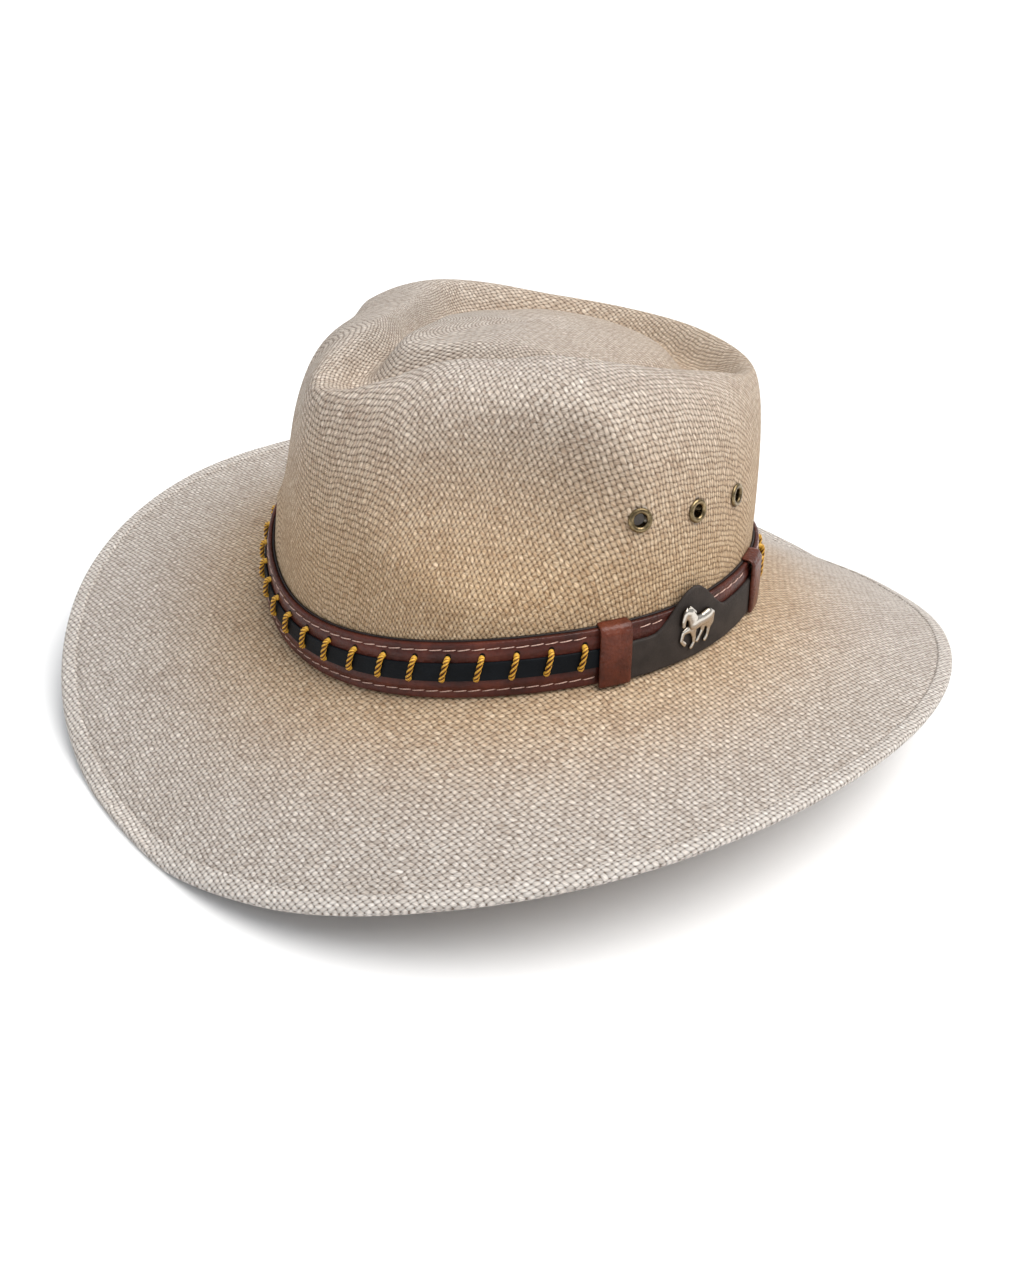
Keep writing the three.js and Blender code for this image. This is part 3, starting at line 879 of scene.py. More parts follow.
def thread_material():
    material, n = new_material("cream_thread")
    twist = n.noise(n.coordinates(), 2400.0, 1.0)
    n.finish(
        color=n.ramp(twist, THREAD_TONES),
        rough=0.7,
        normal=n.bump(twist, 0.05 * MM, 0.8),
    )
    return material


def metal_material(name, bright, dark, rough, relief=False):
    """Cast metal, dark with tarnish in patches. In a relief the slopes are darker as well: a painted
    reflection of the dark plate beside them.
    """
    material, n = new_material(name)
    place = n.coordinates()
    patina_and_reflection = n.noise(place, 350.0, 3.0, 0.6)
    pits = n.noise(place, 3500.0, 2.0)
    if relief:
        # Painted reflection: the relief is darker where its surface turns away from facing straight out, on
        # its slopes.
        level = n.remap(n.attribute("facing"), 0.45, 0.95, 0.05, 0.55)
        patina_and_reflection = n.times_plus(patina_and_reflection, 0.5, level)
    n.finish(
        color=n.ramp(patina_and_reflection, [(0.38, dark), (0.66, bright)]),
        metal=1.0,
        rough=n.remap(pits, 0.3, 0.7, rough, rough + 0.15),
        normal=n.bump(pits, 0.03 * MM, 0.6),
    )
    return material


STRAW = straw_material()
LEATHER = leather_material(
    "brown_leather",
    base=(0.074, 0.016, 0.010),
    dark=(0.038, 0.009, 0.006),
    light=(0.14, 0.034, 0.019),
    rough=0.34,
)
KEEPER = leather_material(
    "keeper_leather",
    base=(0.11, 0.025, 0.012),
    dark=(0.05, 0.012, 0.007),
    light=(0.19, 0.05, 0.024),
    rough=0.3,
)
BACKING = plain_leather_material("backing_leather", (0.020, 0.014, 0.013), 0.5)
STRIP = plain_leather_material("strip_leather", (0.004, 0.0055, 0.0075), 0.5, 0.12)
PLATE = plain_leather_material("plate_leather", (0.026, 0.020, 0.017), 0.62)
CORD = cord_material()
THREAD = thread_material()
# Near-black painted shade inside the punched holes
HOLE_SHADE = plain_leather_material("punched_hole_shade", (0.002, 0.0015, 0.001), 0.9)
SILVER = metal_material("cast_silver", (0.66, 0.61, 0.54), (0.09, 0.07, 0.05), 0.12, relief=True)
BRASS = metal_material("antique_brass", (0.32, 0.24, 0.13), (0.13, 0.095, 0.05), 0.22)


# Hat body
def brim_way(angle, share):
    """Distance inside the edge, where share is 0 at the hem and 1 at the seam."""
    return mix(HEM_WIDTH + HEM_STEP, edge_radius(angle) - seam_radius(angle), share)


def body_rows():
    """(region, function of the angles) for each row, from the top's middle to the edge and back inside."""
    rows = []
    for way in np.linspace(LAST_WAY, 1.0, TOP_ROWS):
        rows.append(("top", lambda angle, way=way: crown_point(angle, way)))
    for way in np.linspace(1.0, 0.0, WALL_ROWS)[1:]:
        rows.append(("wall", lambda angle, way=way: crown_point(angle, max(way, 0))))
    for share in np.linspace(1.0, 0.0, BRIM_ROWS)[1:-1]:
        rows.append(("brim", lambda angle, share=share: brim_point(angle, brim_way(angle, share), 0, 0)))
    for share in np.linspace(0, 1, HEM_STEP_ROWS):
        inside = HEM_WIDTH + HEM_STEP * (1 - share)
        groove = HEM_GROOVE * math.sin(math.pi * min(2 * share, 1))
        raised = HEM_RAISE * float(smooth_step(share)) - groove
        rows.append(("brim", lambda angle, inside=inside, raised=raised: brim_point(
            angle, inside, raised, 0)))
    for inside in (HEM_WIDTH * 0.75, HEM_WIDTH * 0.5):
        rows.append(("brim", lambda angle, inside=inside: brim_point(angle, inside, HEM_RAISE, 0)))
    for turn in np.linspace(0, math.pi, EDGE_ROWS):
        inside = HEM_ROUND * (1 - math.sin(turn))
        sunk = HEM_THICKNESS / 2 * (1 - math.cos(turn))
        region = "edge" if turn <= math.pi / 2 else "under"
        rows.append((region, lambda angle, inside=inside, sunk=sunk: brim_point(
            angle, inside, HEM_RAISE, sunk)))
    rows.append(("under", lambda angle: brim_point(angle, HEM_WIDTH, HEM_RAISE, HEM_THICKNESS)))
    rows.append(("under", lambda angle: brim_point(angle, HEM_WIDTH + HEM_STEP, 0, STRAW_WALL)))
    for share in np.linspace(0, 1, UNDER_ROWS)[1:-1]:
        rows.append(("under", lambda angle, share=share: brim_point(
            angle, brim_way(angle, share), 0, STRAW_WALL)))
    rows.append(("under", lambda angle: polar(
        angle, seam_radius(angle) - STRAW_WALL, seam_level(angle) - STRAW_WALL)))
    for way in np.linspace(FIRST_INSIDE_WAY, LAST_WAY, INSIDE_ROWS):
        rows.append(("inner", lambda angle, way=way: crown_inside(angle, way)))
    return rows


def cloth_point(reach, angle, twist):
    base, swing, phase = twist
    turned = np.radians(angle + base + swing * np.sin(np.radians(2 * (angle + phase))))
    return np.stack([reach * np.cos(turned), reach * np.sin(turned)], -1) / THREAD_PITCH


def body_cloth(points, regions, angles):
    """Cloth coordinates of each row, once as crown cloth and once as brim cloth."""
    lengths = np.concatenate([
        np.linalg.norm(points[0] - points[0].mean(axis=0), axis=1)[None],
        np.linalg.norm(np.diff(points, axis=0), axis=2),
    ]).cumsum(axis=0)
    crest = regions.index("wall") - 1
    seam = regions.index("brim") - 1
    edge = len(regions) - 1 - regions[::-1].index("edge")
    inner_seam = regions.index("inner") - 1
    top = CROWN_CREST_REACH * lengths / lengths[crest]
    wall = CROWN_CREST_REACH + CROWN_STRETCH * (lengths - lengths[crest])
    to_middle = (lengths - lengths[inner_seam]) / (lengths[-1] - lengths[inner_seam])
    inner = wall[seam] * (1 - to_middle)
    brim = BRIM_SEAM_REACH + BRIM_STRETCH * (lengths - lengths[seam])
    under = brim[edge] - BRIM_STRETCH * (lengths - lengths[edge])
    row = np.arange(len(regions))[:, None]
    crown_reach = np.where(row <= crest, top, np.where(row <= seam, wall, inner))
    brim_reach = np.where(row <= edge, brim, under)
    return (
        cloth_point(crown_reach, angles[None, :], CROWN_TWIST),
        cloth_point(brim_reach, angles[None, :], BRIM_TWIST),
    )


def hat_body():
    rows = body_rows()
    regions = [region for region, _ in rows]
    angles = np.arange(COLUMNS) * 360 / COLUMNS
    points = np.array([function(angles) for _, function in rows])
    crown_cloth, brim_cloth = body_cloth(points, regions, angles)
    faces = grid_faces(len(rows), COLUMNS, closed_columns=True)
    outer_pole = len(rows) * COLUMNS
    inner_pole = outer_pole + 1
    last_row = outer_pole - COLUMNS
    for column in range(COLUMNS):
        beside = (column + 1) % COLUMNS
        faces.append((outer_pole, column, beside))
        faces.append((inner_pole, last_row + beside, last_row + column))
    poles = [points[0].mean(axis=0), points[-1].mean(axis=0)]
    everything = np.concatenate([points.reshape(-1, 3), poles])
    body = new_piece("straw_body", everything, faces, STRAW, "straw", ["hat_body"])

    crown_flat = np.concatenate([crown_cloth.reshape(-1, 2), [[0, 0], [0, 0]]])
    brim_flat = np.concatenate([brim_cloth.reshape(-1, 2), [[0, 0], [0, 0]]])
    is_brim = np.array([region in ("brim", "edge", "under") for region in regions])
    mesh = body.data
    corner_vertex = np.zeros(len(mesh.loops), int)
    mesh.loops.foreach_get("vertex_index", corner_vertex)
    quads = (len(rows) - 1) * COLUMNS
    face_row = np.concatenate([np.repeat(np.arange(len(rows) - 1), COLUMNS), np.zeros(2 * COLUMNS, int)])
    face_brim = is_brim[np.minimum(face_row + 1, len(rows) - 1)]
    face_brim[quads:] = False
    corner_brim = np.concatenate([np.repeat(face_brim[:quads], 4), np.repeat(face_brim[quads:], 3)])
    corner_uv = np.where(corner_brim[:, None], brim_flat[corner_vertex], crown_flat[corner_vertex])
    layer = mesh.uv_layers.new(name="cloth")
    layer.data.foreach_set("uv", corner_uv.astype(np.float32).ravel())

    # The crown is tanner than the brim and paler towards its top, and the brim is tan close to the band.
    # The tan on the crown is partly the straw's own tone; its deepening down the crown and the tan on the
    # brim beside the band are also painted shade, deepest where crown and brim meet at the band. The hem is
    # paler.
    radius = np.hypot(everything[:, 0], everything[:, 1])
    angle = np.degrees(np.arctan2(everything[:, 0], -everything[:, 1]))
    outside = (radius - seam_radius(angle)) / TAN_AND_SHADE_REACH
    upward = (everything[:, 2] - SEAM_HEIGHT) / CROWN_HEIGHT
    on_brim = np.append(np.repeat(is_brim, COLUMNS), [False, False])
    tan_and_shade = np.where(on_brim, 0.9 * np.exp(-outside**2), 1.1 - np.clip(upward, 0, 1) ** 2)
    hem = smooth_step((HEM_WIDTH + HEM_STEP - edge_radius(angle) + radius) / HEM_STEP)
    add_attribute(mesh, "tan_and_shade", tan_and_shade)
    add_attribute(mesh, "hem", hem)
    return body


def eyelet_places():
    """(point, normal) of each eyelet, the wearer's left side first."""
    angles = [EYELET_FIRST_ANGLE]
    for _ in range(2):
        previous = angles[-1]
        radius = float(crown_radius_at(previous, seam_level(previous) + EYELET_HEIGHT))
        angles.append(previous + math.degrees(EYELET_SPACING / radius))
    places = []
    for side in (1, -1):
        for index, angle in enumerate(angles):
            height = EYELET_HEIGHT - index * EYELET_DROP
            rise = height / float(crest_level(angle) - seam_level(angle))
            way = math.asin(rise) / (math.pi / 2)
            turned = np.array([side * angle])
            places.append((crown_point(turned, way)[0], crown_normal(turned, way)[0]))
    return places


def lathe(profile, sides):
    """Points and quads of a closed profile of (radius, height) pairs turned round +Z."""
    turns = np.arange(sides) * 2 * math.pi / sides
    points = np.array([
        (radius * math.cos(turn), radius * math.sin(turn), height)
        for turn in turns for radius, height in profile
    ])
    return points, grid_faces(sides, len(profile), closed_rows=True, closed_columns=True)


def aligned(points, place, normal):
    turn = np.array(Vector((0, 0, 1)).rotation_difference(Vector(normal)).to_matrix())
    return points @ turn.T + place


def cut_eyelet_holes(body, places):
    """Cuts the six holes through the straw."""
    radius = EYELET_TUBE / 2 + PIECE_GAP
    half = STRAW_WALL + EYELET_TUBE
    profile = [(AXIS, -half), (radius, -half), (radius, half), (AXIS, half)]
    grids = []
    for place, normal in places:
        points, faces = lathe(profile, CUTTER_SIDES)
        grids.append((aligned(points, place, normal), faces))
    cutter = bpy.data.objects.new("eyelet_cutter", closed_mesh("eyelet_cutter", *join_grids(grids)))
    bpy.context.scene.collection.objects.link(cutter)
    modifier = body.modifiers.new("holes", "BOOLEAN")
    modifier.operation = "DIFFERENCE"
    modifier.solver = "EXACT"
    modifier.object = cutter
    evaluated = body.evaluated_get(bpy.context.evaluated_depsgraph_get())
    cut = bpy.data.meshes.new_from_object(evaluated)
    body.modifiers.clear()
    body.data = cut
    bpy.data.objects.remove(cutter)


def eyelets(places):
    bore = EYELET_BORE / 2
    tube = EYELET_TUBE / 2
    flange = EYELET_FLANGE / 2
    inner = -STRAW_WALL - PIECE_GAP - EYELET_FLANGE_THICKNESS / 2
    middle = (flange + bore) / 2
    half = (flange - bore) / 2
    dome = [
        (middle + half * math.cos(turn), PIECE_GAP + EYELET_FLANGE_THICKNESS * math.sin(turn))
        for turn in np.linspace(0, math.pi, 15)
    ]
    profile = [(bore, inner), (tube, inner), (tube, PIECE_GAP), (flange - 0.1, PIECE_GAP - 0.1), *dome]
    names = [f"{side}_{index}" for side in ("left", "right") for index in (1, 2, 3)]
    for name, (place, normal) in zip(names, places):
        points, faces = lathe(profile, EYELET_SIDES)
        new_piece(f"brass_eyelet_{name}", aligned(points, place, normal), faces, BRASS, "brass",
                  [f"eyelet_{name}"])


# Band pieces
def strap_and_backing():
    angles = whole_ring_angles()
    backing = rounded_section(BACKING_INNER, BACKING_OUTER, 0, BAND_HEIGHT + BACKING_SHOW, 0.3)
    new_piece("backing_ring", *band_ring(backing, angles, True), BACKING, "backing", ["band_backing"])
    strip_top = STRIP_MIDDLE + STRIP_WIDTH / 2
    strip_bottom = STRIP_MIDDLE - STRIP_WIDTH / 2
    upper_stitch = BAND_HEIGHT - STITCH_TOP
    strap = rounded_section(
        STRAP_INNER, STRAP_OUTER, 0, BAND_HEIGHT, 0.6,
        grooves=(STITCH_BOTTOM, upper_stitch),
        puffs=((strip_top + upper_stitch) / 2, (strip_bottom + STITCH_BOTTOM) / 2),
    )
    new_piece("strap_ring", *band_ring(strap, angles, True), LEATHER, "leather", ["band_strap"])


def keeper_edge(angle, side):
    """Angle of a keeper's edge, where side is -1 at its front and 1 at its rear."""
    return angle + side * half_angle(angle, KEEPER_WIDTH)


def strip_angles():
    start = KEEPER_REAR_ANGLE + half_angle(KEEPER_REAR_ANGLE, KEEPER_WIDTH - 2 * PLATE_TUCK) - 360
    end = KEEPER_FRONT_ANGLE - half_angle(KEEPER_FRONT_ANGLE, KEEPER_WIDTH - 2 * PLATE_TUCK)
    return np.linspace(start, end, RING_STATIONS)


def lace_strip():
    section = rounded_section(STRIP_INNER, STRIP_INNER + STRIP_THICKNESS, STRIP_MIDDLE - STRIP_WIDTH / 2,
                              STRIP_MIDDLE + STRIP_WIDTH / 2, 0.35)
    new_piece("black_strip", *band_ring(section, strip_angles(), False), STRIP, "strip", ["lace_strip"])


def tube_along(path, radius, sides):
    """Points and faces of a capped tube along an array of points, and its (round, along) coordinates."""
    path = np.asarray(path, float)
    tangents = unit(np.gradient(path, axis=0))
    side = np.cross(tangents[0], SIDEWAYS)
    rings = []
    for point, tangent, size in zip(path, tangents, np.broadcast_to(radius, len(path))):
        side = unit(side - tangent * (side @ tangent))
        other = np.cross(tangent, side)
        turns = np.arange(sides) * 2 * math.pi / sides
        rings.append(point + size * (np.outer(np.cos(turns), side) + np.outer(np.sin(turns), other)))
    points = np.concatenate(rings)
    faces = [tuple(reversed(face)) for face in grid_faces(len(path), sides, closed_columns=True)]
    faces.append(tuple(reversed(range(sides))))
    faces.append(tuple(range(len(points) - sides, len(points))))
    return points, faces


def smooth_path(points, count):
    """Even points on a smooth curve through the given ones."""
    points = np.array(points, float)
    ends = np.concatenate([[2 * points[0] - points[1]], points, [2 * points[-1] - points[-2]]])
    places = np.linspace(0, len(points) - 1, count)
    row = np.minimum(places.astype(int), len(points) - 2)
    share = (places - row)[:, None]
    return curve_between(ends[row], ends[row + 1], ends[row + 2], ends[row + 3], share)


def cord_heights():
    """Heights of the middles of a cord's two ends, the lower first."""
    radius = LACE_THICKNESS / 2
    low = STRIP_MIDDLE - STRIP_WIDTH / 2 + CORD_TUCK
    high = STRIP_MIDDLE + STRIP_WIDTH / 2 + 2 * LACE_RISE + PIECE_GAP + radius
    return low, high


def cord_angle(angle, above):
    """Angle of a cord at a height, as cords lean to the rear at the top."""
    low, high = cord_heights()
    share = (above - low) / (high - low) - 0.5
    return angle + 2 * half_angle(angle, LACE_SLANT) * share


def cord_loop(angle):
    """Points and faces of a cord's twisted strands, and how far outward each point looks on its strand."""
    radius = LACE_THICKNESS / 2
    low, high = cord_heights()
    foot = STRAP_OUTER - CORD_SINK
    over = STRIP_INNER + STRIP_THICKNESS + radius
    halfway = mix(foot, over, 0.5)
    bend = CORD_BEND * radius
    route = [
        (high, foot),
        (high, halfway),
        (high - bend, over),
        (low + bend, over),
        (low, halfway),
        (low, foot),
    ]
    places = [band_point(cord_angle(angle, above), above, offset) for above, offset in route]
    path = smooth_path(places, CORD_STATIONS)
    tangents = unit(np.gradient(path, axis=0))
    side = unit(np.cross(tangents, polar(angle + 90, 1.0, 0.0)))
    other = np.cross(tangents, side)
    strand_radius = radius * STRAND_SHARE
    grids = []
    outward = []
    for strand in range(STRANDS):
        turn = np.linspace(0, STRAND_TURNS * 2 * math.pi, len(path)) + strand * 2 * math.pi / STRANDS
        swing = np.cos(turn)[:, None] * side + np.sin(turn)[:, None] * other
        middle = path + swing * (radius - strand_radius)
        points, faces = tube_along(middle, strand_radius, STRAND_SIDES)
        grids.append((points, faces))
        spread = (points - np.repeat(middle, STRAND_SIDES, axis=0)) / strand_radius
        outward.append((spread * np.repeat(swing, STRAND_SIDES, axis=0)).sum(axis=1))
    return *join_grids(grids), np.concatenate(outward)


def lace_angles():
    return even_lengths(keeper_edge(KEEPER_REAR_ANGLE, 1) - 360, keeper_edge(KEEPER_FRONT_ANGLE, -1),
                        STRIP_MIDDLE, STRAP_OUTER, count=LACE_COUNT)


def laces():
    for index, angle in enumerate(lace_angles(), start=1):
        points, faces, outward = cord_loop(angle)
        piece = new_piece(f"gold_cord_{index:02d}", points, faces, CORD, "cord", [f"lace_loop_{index:02d}"])
        add_attribute(piece.data, "outward", outward)


def lace_hole_shades():
    """The punched holes that the cords go through, as shallow near-black discs at both ends of each cord:
    painted shade inside the holes.
    """
    grids = []
    low, high = cord_heights()
    radius = LACE_THICKNESS / 2
    profile = [
        (AXIS, -HOLE_DEPTH),
        (HOLE_RADIUS, -HOLE_DEPTH),
        (HOLE_RADIUS, 0.05),
        (0.75 * HOLE_RADIUS, 0.02),
        (AXIS, -0.05),
    ]
    for angle in lace_angles():
        for above, offset in ((high + HOLE_SHIFT * radius, PUFF_DEPTH), (low - 2 * CORD_TUCK, 0.0)):
            place = band_point(cord_angle(angle, above), above, STRAP_OUTER + offset)
            points, faces = lathe(profile, HOLE_SIDES)
            grids.append((aligned(points, place, polar(angle, 1.0, 0.0)), faces))
    new_piece("lace_hole_shades", *join_grids(grids), HOLE_SHADE, "leather")


def stitch_row(name, above, hidden):
    """A row of short bent stitches, left out where other leather covers it."""
    grids = []
    for angle in even_lengths(0, 360, above, STRAP_OUTER, spacing=STITCH_PITCH):
        if hidden(angle):
            continue
        half = half_angle(angle, STITCH_LENGTH)
        shares = np.linspace(-1, 1, STITCH_STATIONS)
        bulge = np.sqrt(1 - (0.96 * shares) ** 2)
        wobble = dice.uniform(-STITCH_WOBBLE, STITCH_WOBBLE)
        tilt = STITCH_RISE + dice.uniform(-STITCH_TILT, STITCH_TILT)
        path = [
            band_point(
                angle + half * share,
                above + wobble + tilt * share,
                STRAP_OUTER - STITCH_SINK + STITCH_ARCH * rise,
            )
            for share, rise in zip(shares, bulge)
        ]
        taper = 1 - STITCH_TAPER + STITCH_TAPER * shares
        radii = STITCH_THICKNESS / 2 * np.sqrt(1 - (0.9 * shares) ** 4) * taper
        grids.append(tube_along(path, radii, STITCH_SIDES))
    new_piece(name, *join_grids(grids), THREAD, "cord")


def under_keeper(angle):
    return any(abs(angle - middle) < half_angle(middle, KEEPER_WIDTH + STITCH_LENGTH)
               for middle in (KEEPER_FRONT_ANGLE, KEEPER_REAR_ANGLE))


def stitches():
    upper = BAND_HEIGHT - STITCH_TOP

    def upper_hidden(angle):
        return under_keeper(angle) or (
            KEEPER_FRONT_ANGLE < angle < KEEPER_REAR_ANGLE and float(plate_top(angle)) > upper - 1)

    def lower_hidden(angle):
        return under_keeper(angle) or KEEPER_FRONT_ANGLE < angle < KEEPER_REAR_ANGLE

    stitch_row("stitches_upper", upper, upper_hidden)
    stitch_row("stitches_lower", STITCH_BOTTOM, lower_hidden)


def slab(place, us, vs, depth):
    """Closed slab. place(u, v, lift) gives a point, and depth(u, v) the share of the thickness there."""
    outer = np.array([[place(u, v, depth(u, v)) for v in vs] for u in us]).reshape(-1, 3)
    inner = np.array([[place(u, v, 0.0) for v in vs] for u in us]).reshape(-1, 3)
    rows, columns = len(us), len(vs)
    top = grid_faces(rows, columns)
    size = rows * columns
    faces = top + [tuple(size + index for index in reversed(face)) for face in top]
    border = (
        [(0, column) for column in range(columns)]
        + [(row, columns - 1) for row in range(1, rows)]
        + [(rows - 1, column) for column in range(columns - 2, -1, -1)]
        + [(row, 0) for row in range(rows - 2, 0, -1)]
    )
    ring = [row * columns + column for row, column in border]
    for first, second in zip(ring, ring[1:] + ring[:1]):
        faces.append((first, second, size + second, size + first))
    return np.concatenate([outer, inner]), faces


def edge_round(distance, radius):
    """Share of the full height at a distance inside an edge of a rounded slab."""
    share = min(max(distance / radius, 0), 1)
    return mix(EDGE_SHARE, 1, math.sqrt(1 - (1 - share) ** 2))


def keeper(name, node, angle):
    """A leather loop over the band's face and its upper edge."""
    half = half_angle(angle, KEEPER_WIDTH)
    high = BAND_HEIGHT + BACKING_SHOW + PIECE_GAP
    corner = KEEPER_CORNER
    path = [(KEEPER_INNER, above) for above in np.linspace(0, high - corner, KEEPER_STATIONS)]
    path += [
        (KEEPER_INNER - corner + corner * math.cos(turn), high - corner + corner * math.sin(turn))
        for turn in np.linspace(0, math.pi / 2, 9)[1:]
    ]
    path += [(offset, high) for offset in np.linspace(KEEPER_INNER - corner, PIECE_GAP, 5)[1:]]
    path = np.array(path)
    steps = np.gradient(path, axis=0)
    normals = unit(np.stack([steps[:, 1], -steps[:, 0]], -1))
    us = np.concatenate([[-1, -0.985, -0.95, -0.9], np.linspace(-0.8, 0.8, 13), [0.9, 0.95, 0.985, 1]])

    def place(u, v, lift):
        index = int(v)
        bulge = KEEPER_BULGE * (1 - u * u) * math.sin(math.pi * min(index / (KEEPER_STATIONS - 1), 1))
        thickness = KEEPER_THICKNESS if index < KEEPER_STATIONS else KEEPER_OVERHANG
        offset, above = path[index] + normals[index] * (thickness + bulge) * lift
        return band_point(angle + half * u, above, offset)

    def depth(u, v):
        inside = (1 - abs(u)) * KEEPER_WIDTH / 2
        return edge_round(inside, KEEPER_EDGE)

    new_piece(name, *slab(place, us, range(len(path)), depth), KEEPER, "leather", [node])


def plate():
    start = KEEPER_FRONT_ANGLE + half_angle(KEEPER_FRONT_ANGLE, KEEPER_WIDTH - 2 * PLATE_TUCK)
    end = KEEPER_REAR_ANGLE - half_angle(KEEPER_REAR_ANGLE, KEEPER_WIDTH - 2 * PLATE_TUCK)
    us = np.linspace(start, end, PLATE_STATIONS)
    vs = np.concatenate([[0, 0.01, 0.025, 0.05], np.linspace(0.1, 0.9, 17), [0.95, 0.975, 0.99, 1]])
    ragged = [dice.uniform(-PLATE_RAGGEDNESS, PLATE_RAGGEDNESS) for _ in us]

    def place(u, v, lift):
        tear = float(np.interp(u, us, ragged)) * v**8
        above = (float(plate_top(u)) + tear) * v
        return band_point(u, above, PLATE_INNER + PLATE_THICKNESS * lift)

    def depth(u, v):
        height = float(plate_top(u))
        inside = min(v * height, (1 - v) * height)
        return edge_round(inside, PLATE_EDGE)

    new_piece("leather_plate", *slab(place, us, vs, depth), PLATE, "plate", ["band_plate"])


# Horse: limbs from one place to another, with a radius at each end. x is a share of the horse's
# length from its nose, y of its height, and near is 1 for the limbs on the side that is seen.
HORSE_LIMBS = (
    # (x, y, radius, x to, y to, radius to, near)
    (0.40, 0.59, 3.0, 0.60, 0.59, 2.6, 1),
    (0.60, 0.59, 2.6, 0.80, 0.63, 2.8, 1),
    (0.38, 0.62, 2.7, 0.27, 0.84, 2.0, 1),
    (0.27, 0.84, 2.0, 0.16, 0.90, 1.6, 1),
    (0.15, 0.88, 1.6, 0.09, 0.72, 1.15, 1),
    (0.09, 0.72, 1.15, 0.09, 0.62, 0.95, 1),
    (0.18, 0.97, 0.5, 0.17, 1.01, 0.3, 1),
    (0.36, 0.46, 1.9, 0.41, 0.28, 1.1, 1),
    (0.41, 0.28, 1.1, 0.42, 0.12, 0.75, 1),
    (0.42, 0.12, 0.8, 0.34, 0.04, 0.95, 1),
    (0.30, 0.48, 1.8, 0.12, 0.44, 1.05, 0),
    (0.12, 0.44, 1.05, 0.07, 0.26, 0.8, 0),
    (0.07, 0.26, 0.8, 0.17, 0.15, 0.95, 0),
    (0.82, 0.54, 2.2, 0.86, 0.34, 1.1, 1),
    (0.86, 0.34, 1.1, 0.82, 0.14, 0.75, 1),
    (0.82, 0.14, 0.8, 0.76, 0.07, 0.95, 1),
    (0.70, 0.50, 1.9, 0.70, 0.32, 1.05, 0),
    (0.70, 0.32, 1.05, 0.61, 0.18, 0.75, 0),
    (0.61, 0.18, 0.8, 0.55, 0.11, 0.95, 0),
    (0.88, 0.70, 0.9, 0.96, 0.62, 1.1, 1),
    (0.96, 0.62, 1.1, 0.96, 0.42, 0.8, 1),
    (0.96, 0.42, 0.8, 0.92, 0.32, 0.4, 1),
    (0.26, 0.99, 0.7, 0.42, 0.82, 0.8, 1),
    (0.34, 0.88, 0.6, 0.40, 0.70, 0.5, 1),
)


def horse():
    """Cast relief of a walking horse, made of rounded limbs that are merged and flattened on the plate."""
    foot = band_point(HORSE_ANGLE, HORSE_LIFT, 0.0)
    head = band_point(HORSE_ANGLE, HORSE_LIFT + HORSE_HEIGHT, 0.0)
    along = polar(HORSE_ANGLE + 90, 1.0, 0.0)
    up = unit(head - foot)
    out = np.cross(along, up)
    seat = PLATE_INNER + PLATE_THICKNESS + PIECE_GAP

    balls = bmesh.new()
    for x, y, radius, x_to, y_to, radius_to, near in HORSE_LIMBS:
        for step in range(LIMB_STEPS):
            share = step / (LIMB_STEPS - 1)
            place = Vector(((mix(x, x_to, share) - 0.5) * HORSE_LENGTH, mix(y, y_to, share) * HORSE_HEIGHT,
                            HORSE_NEAR_LIFT * near))
            size = mix(radius, radius_to, share)
            shape = Matrix.Translation(place * MM) @ Matrix.Diagonal(
                (size * MM, size * MM, size * HORSE_FLATNESS * MM, 1))
            bmesh.ops.create_icosphere(balls, subdivisions=3, radius=1, matrix=shape)
    mesh = bpy.data.meshes.new("horse_shape")
    balls.to_mesh(mesh)
    balls.free()
    shape = bpy.data.objects.new("horse_shape", mesh)
    bpy.context.scene.collection.objects.link(shape)
    remesh = shape.modifiers.new("merge", "REMESH")
    remesh.mode = "VOXEL"
    remesh.voxel_size = HORSE_VOXEL * MM
    smooth = shape.modifiers.new("smooth", "SMOOTH")
    smooth.iterations = 2
    merged = bpy.data.meshes.new_from_object(shape.evaluated_get(bpy.context.evaluated_depsgraph_get()))
    bpy.data.objects.remove(shape)
    flat = np.array([tuple(vertex.co) for vertex in merged.vertices]) / MM
    flat[:, 2] = np.maximum(flat[:, 2], 0)
    points = foot + flat[:, :1] * along + flat[:, 1:2] * up + (flat[:, 2:] + seat) * out
    faces = [tuple(face.vertices) for face in merged.polygons]
    piece = new_piece("silver_horse", points, faces, SILVER, "silver", ["horse_ornament"])
    add_attribute(piece.data, "facing", [vertex.normal.z for vertex in merged.vertices])


def camera():
    azimuth = math.radians(CAMERA_AZIMUTH)
    elevation = math.radians(CAMERA_ELEVATION)
    roll = math.radians(CAMERA_ROLL)
    back = Vector((math.sin(azimuth) * math.cos(elevation), -math.cos(azimuth) * math.cos(elevation),
                   math.sin(elevation)))
    right = Vector((math.cos(azimuth), math.sin(azimuth), 0))
    up = back.cross(right)
    place = Vector((0, 0, CAMERA_TARGET_HEIGHT)) + back * CAMERA_DISTANCE
    place += right * CAMERA_ASIDE + up * CAMERA_RISE
    turned_right = right * math.cos(roll) + up * math.sin(roll)
    turned_up = up * math.cos(roll) - right * math.sin(roll)
    data = bpy.data.cameras.new("camera")
    data.lens = CAMERA_LENS
    data.sensor_width = CAMERA_SENSOR
    data.clip_start = CAMERA_NEAR
    data.clip_end = CAMERA_FAR
    item = bpy.data.objects.new("camera", data)
    bpy.context.scene.collection.objects.link(item)
    turn = Matrix((turned_right, turned_up, back)).transposed().to_4x4()
    item.matrix_world = Matrix.Translation(place * MM) @ turn
    bpy.context.scene.camera = item


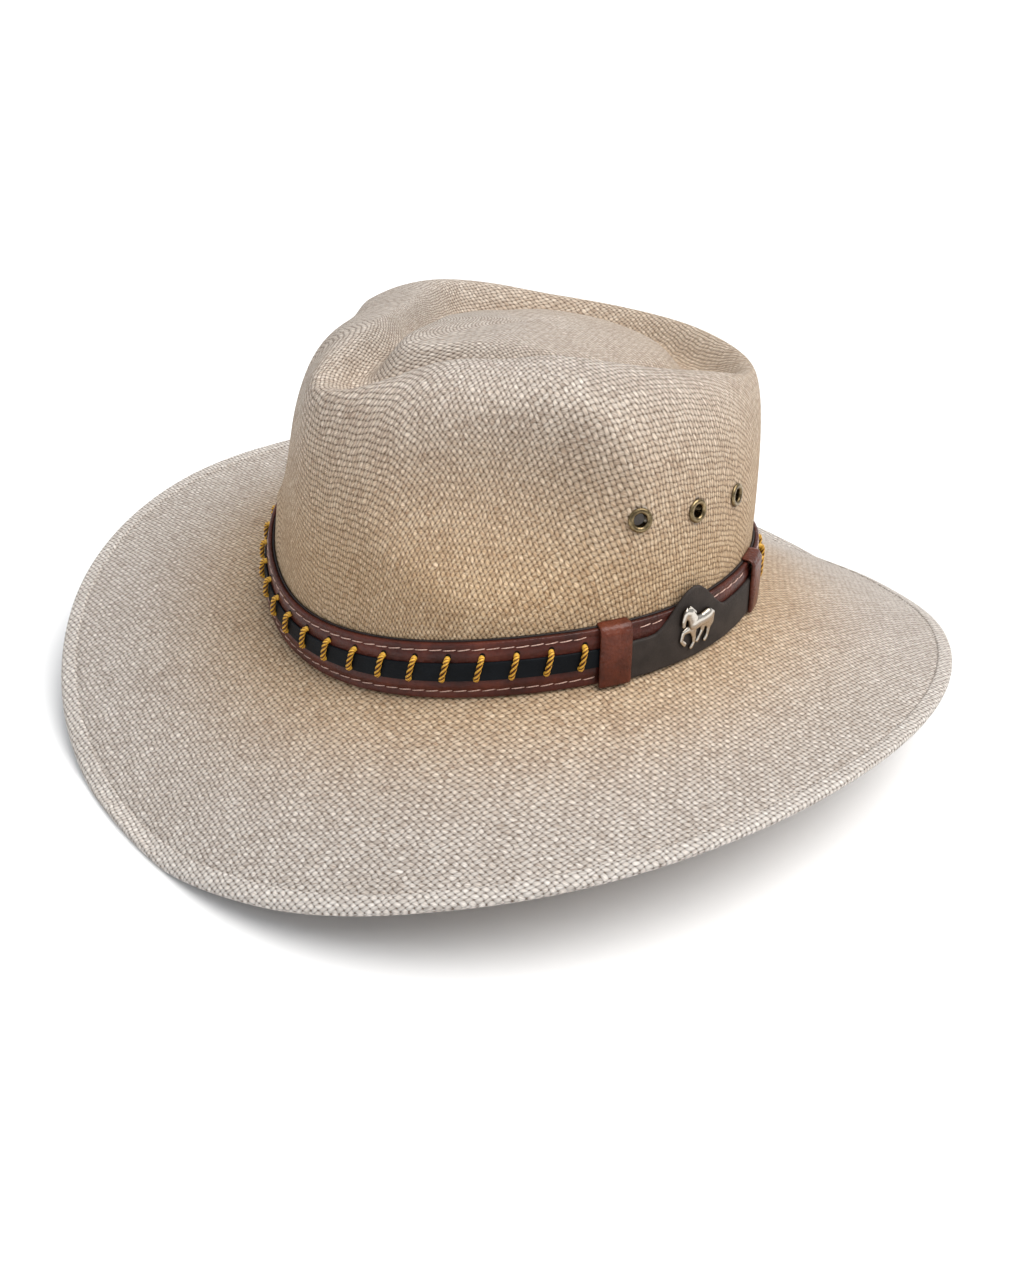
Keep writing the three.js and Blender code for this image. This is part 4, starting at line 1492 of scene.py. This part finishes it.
def area_light(name, place, target, size, power, color):
    data = bpy.data.lights.new(name, "AREA")
    data.shape = "DISK"
    data.size = size
    data.energy = power
    data.color = color
    item = bpy.data.objects.new(name, data)
    bpy.context.scene.collection.objects.link(item)
    item.location = place
    item.rotation_mode = "QUATERNION"
    item.rotation_quaternion = (Vector(place) - Vector(target)).to_track_quat("Z", "Y")


def studio():
    bpy.ops.mesh.primitive_plane_add(size=FLOOR_SIZE, location=(0, 0, 0))
    floor = bpy.context.object
    floor.name = "floor"
    material, n = new_material("pale_floor")
    n.finish(color=FLOOR_COLOR, rough=0.9, specular=0.1)
    floor.data.materials.append(material)
    world = bpy.data.worlds.new("studio")
    world.use_nodes = True
    tree = world.node_tree
    background = tree.nodes["Background"]
    background.inputs["Color"].default_value = (*SURROUND_COLOR, 1)
    direction = tree.nodes.new("ShaderNodeTexCoord")
    parts = tree.nodes.new("ShaderNodeSeparateXYZ")
    strength = tree.nodes.new("ShaderNodeMapRange")
    for index, number in enumerate((0.0, 1.0, HORIZON_LIGHT, ZENITH_LIGHT), start=1):
        strength.inputs[index].default_value = number
    tree.links.new(direction.outputs["Generated"], parts.inputs[0])
    tree.links.new(parts.outputs["Z"], strength.inputs[0])
    tree.links.new(strength.outputs[0], background.inputs["Strength"])
    bpy.context.scene.world = world
    sun = bpy.data.lights.new("sun", "SUN")
    sun.energy = SUN_LIGHT
    sun.angle = math.radians(SUN_WIDTH)
    sun.color = SUN_COLOR
    item = bpy.data.objects.new("sun", sun)
    bpy.context.scene.collection.objects.link(item)
    item.rotation_mode = "QUATERNION"
    item.rotation_quaternion = Vector(SUN_FROM).to_track_quat("Z", "Y")
    area_light("window", WINDOW_PLACE, WINDOW_TARGET, WINDOW_SIZE, WINDOW_LIGHT, WINDOW_COLOR)
    bpy.context.scene.view_settings.view_transform = "Standard"


places = eyelet_places()
body = hat_body()
cut_eyelet_holes(body, places)
eyelets(places)
strap_and_backing()
lace_strip()
laces()
lace_hole_shades()
stitches()
keeper("front_keeper", "keeper_front", KEEPER_FRONT_ANGLE)
keeper("rear_keeper", "keeper_rear", KEEPER_REAR_ANGLE)
plate()
horse()
camera()
studio()
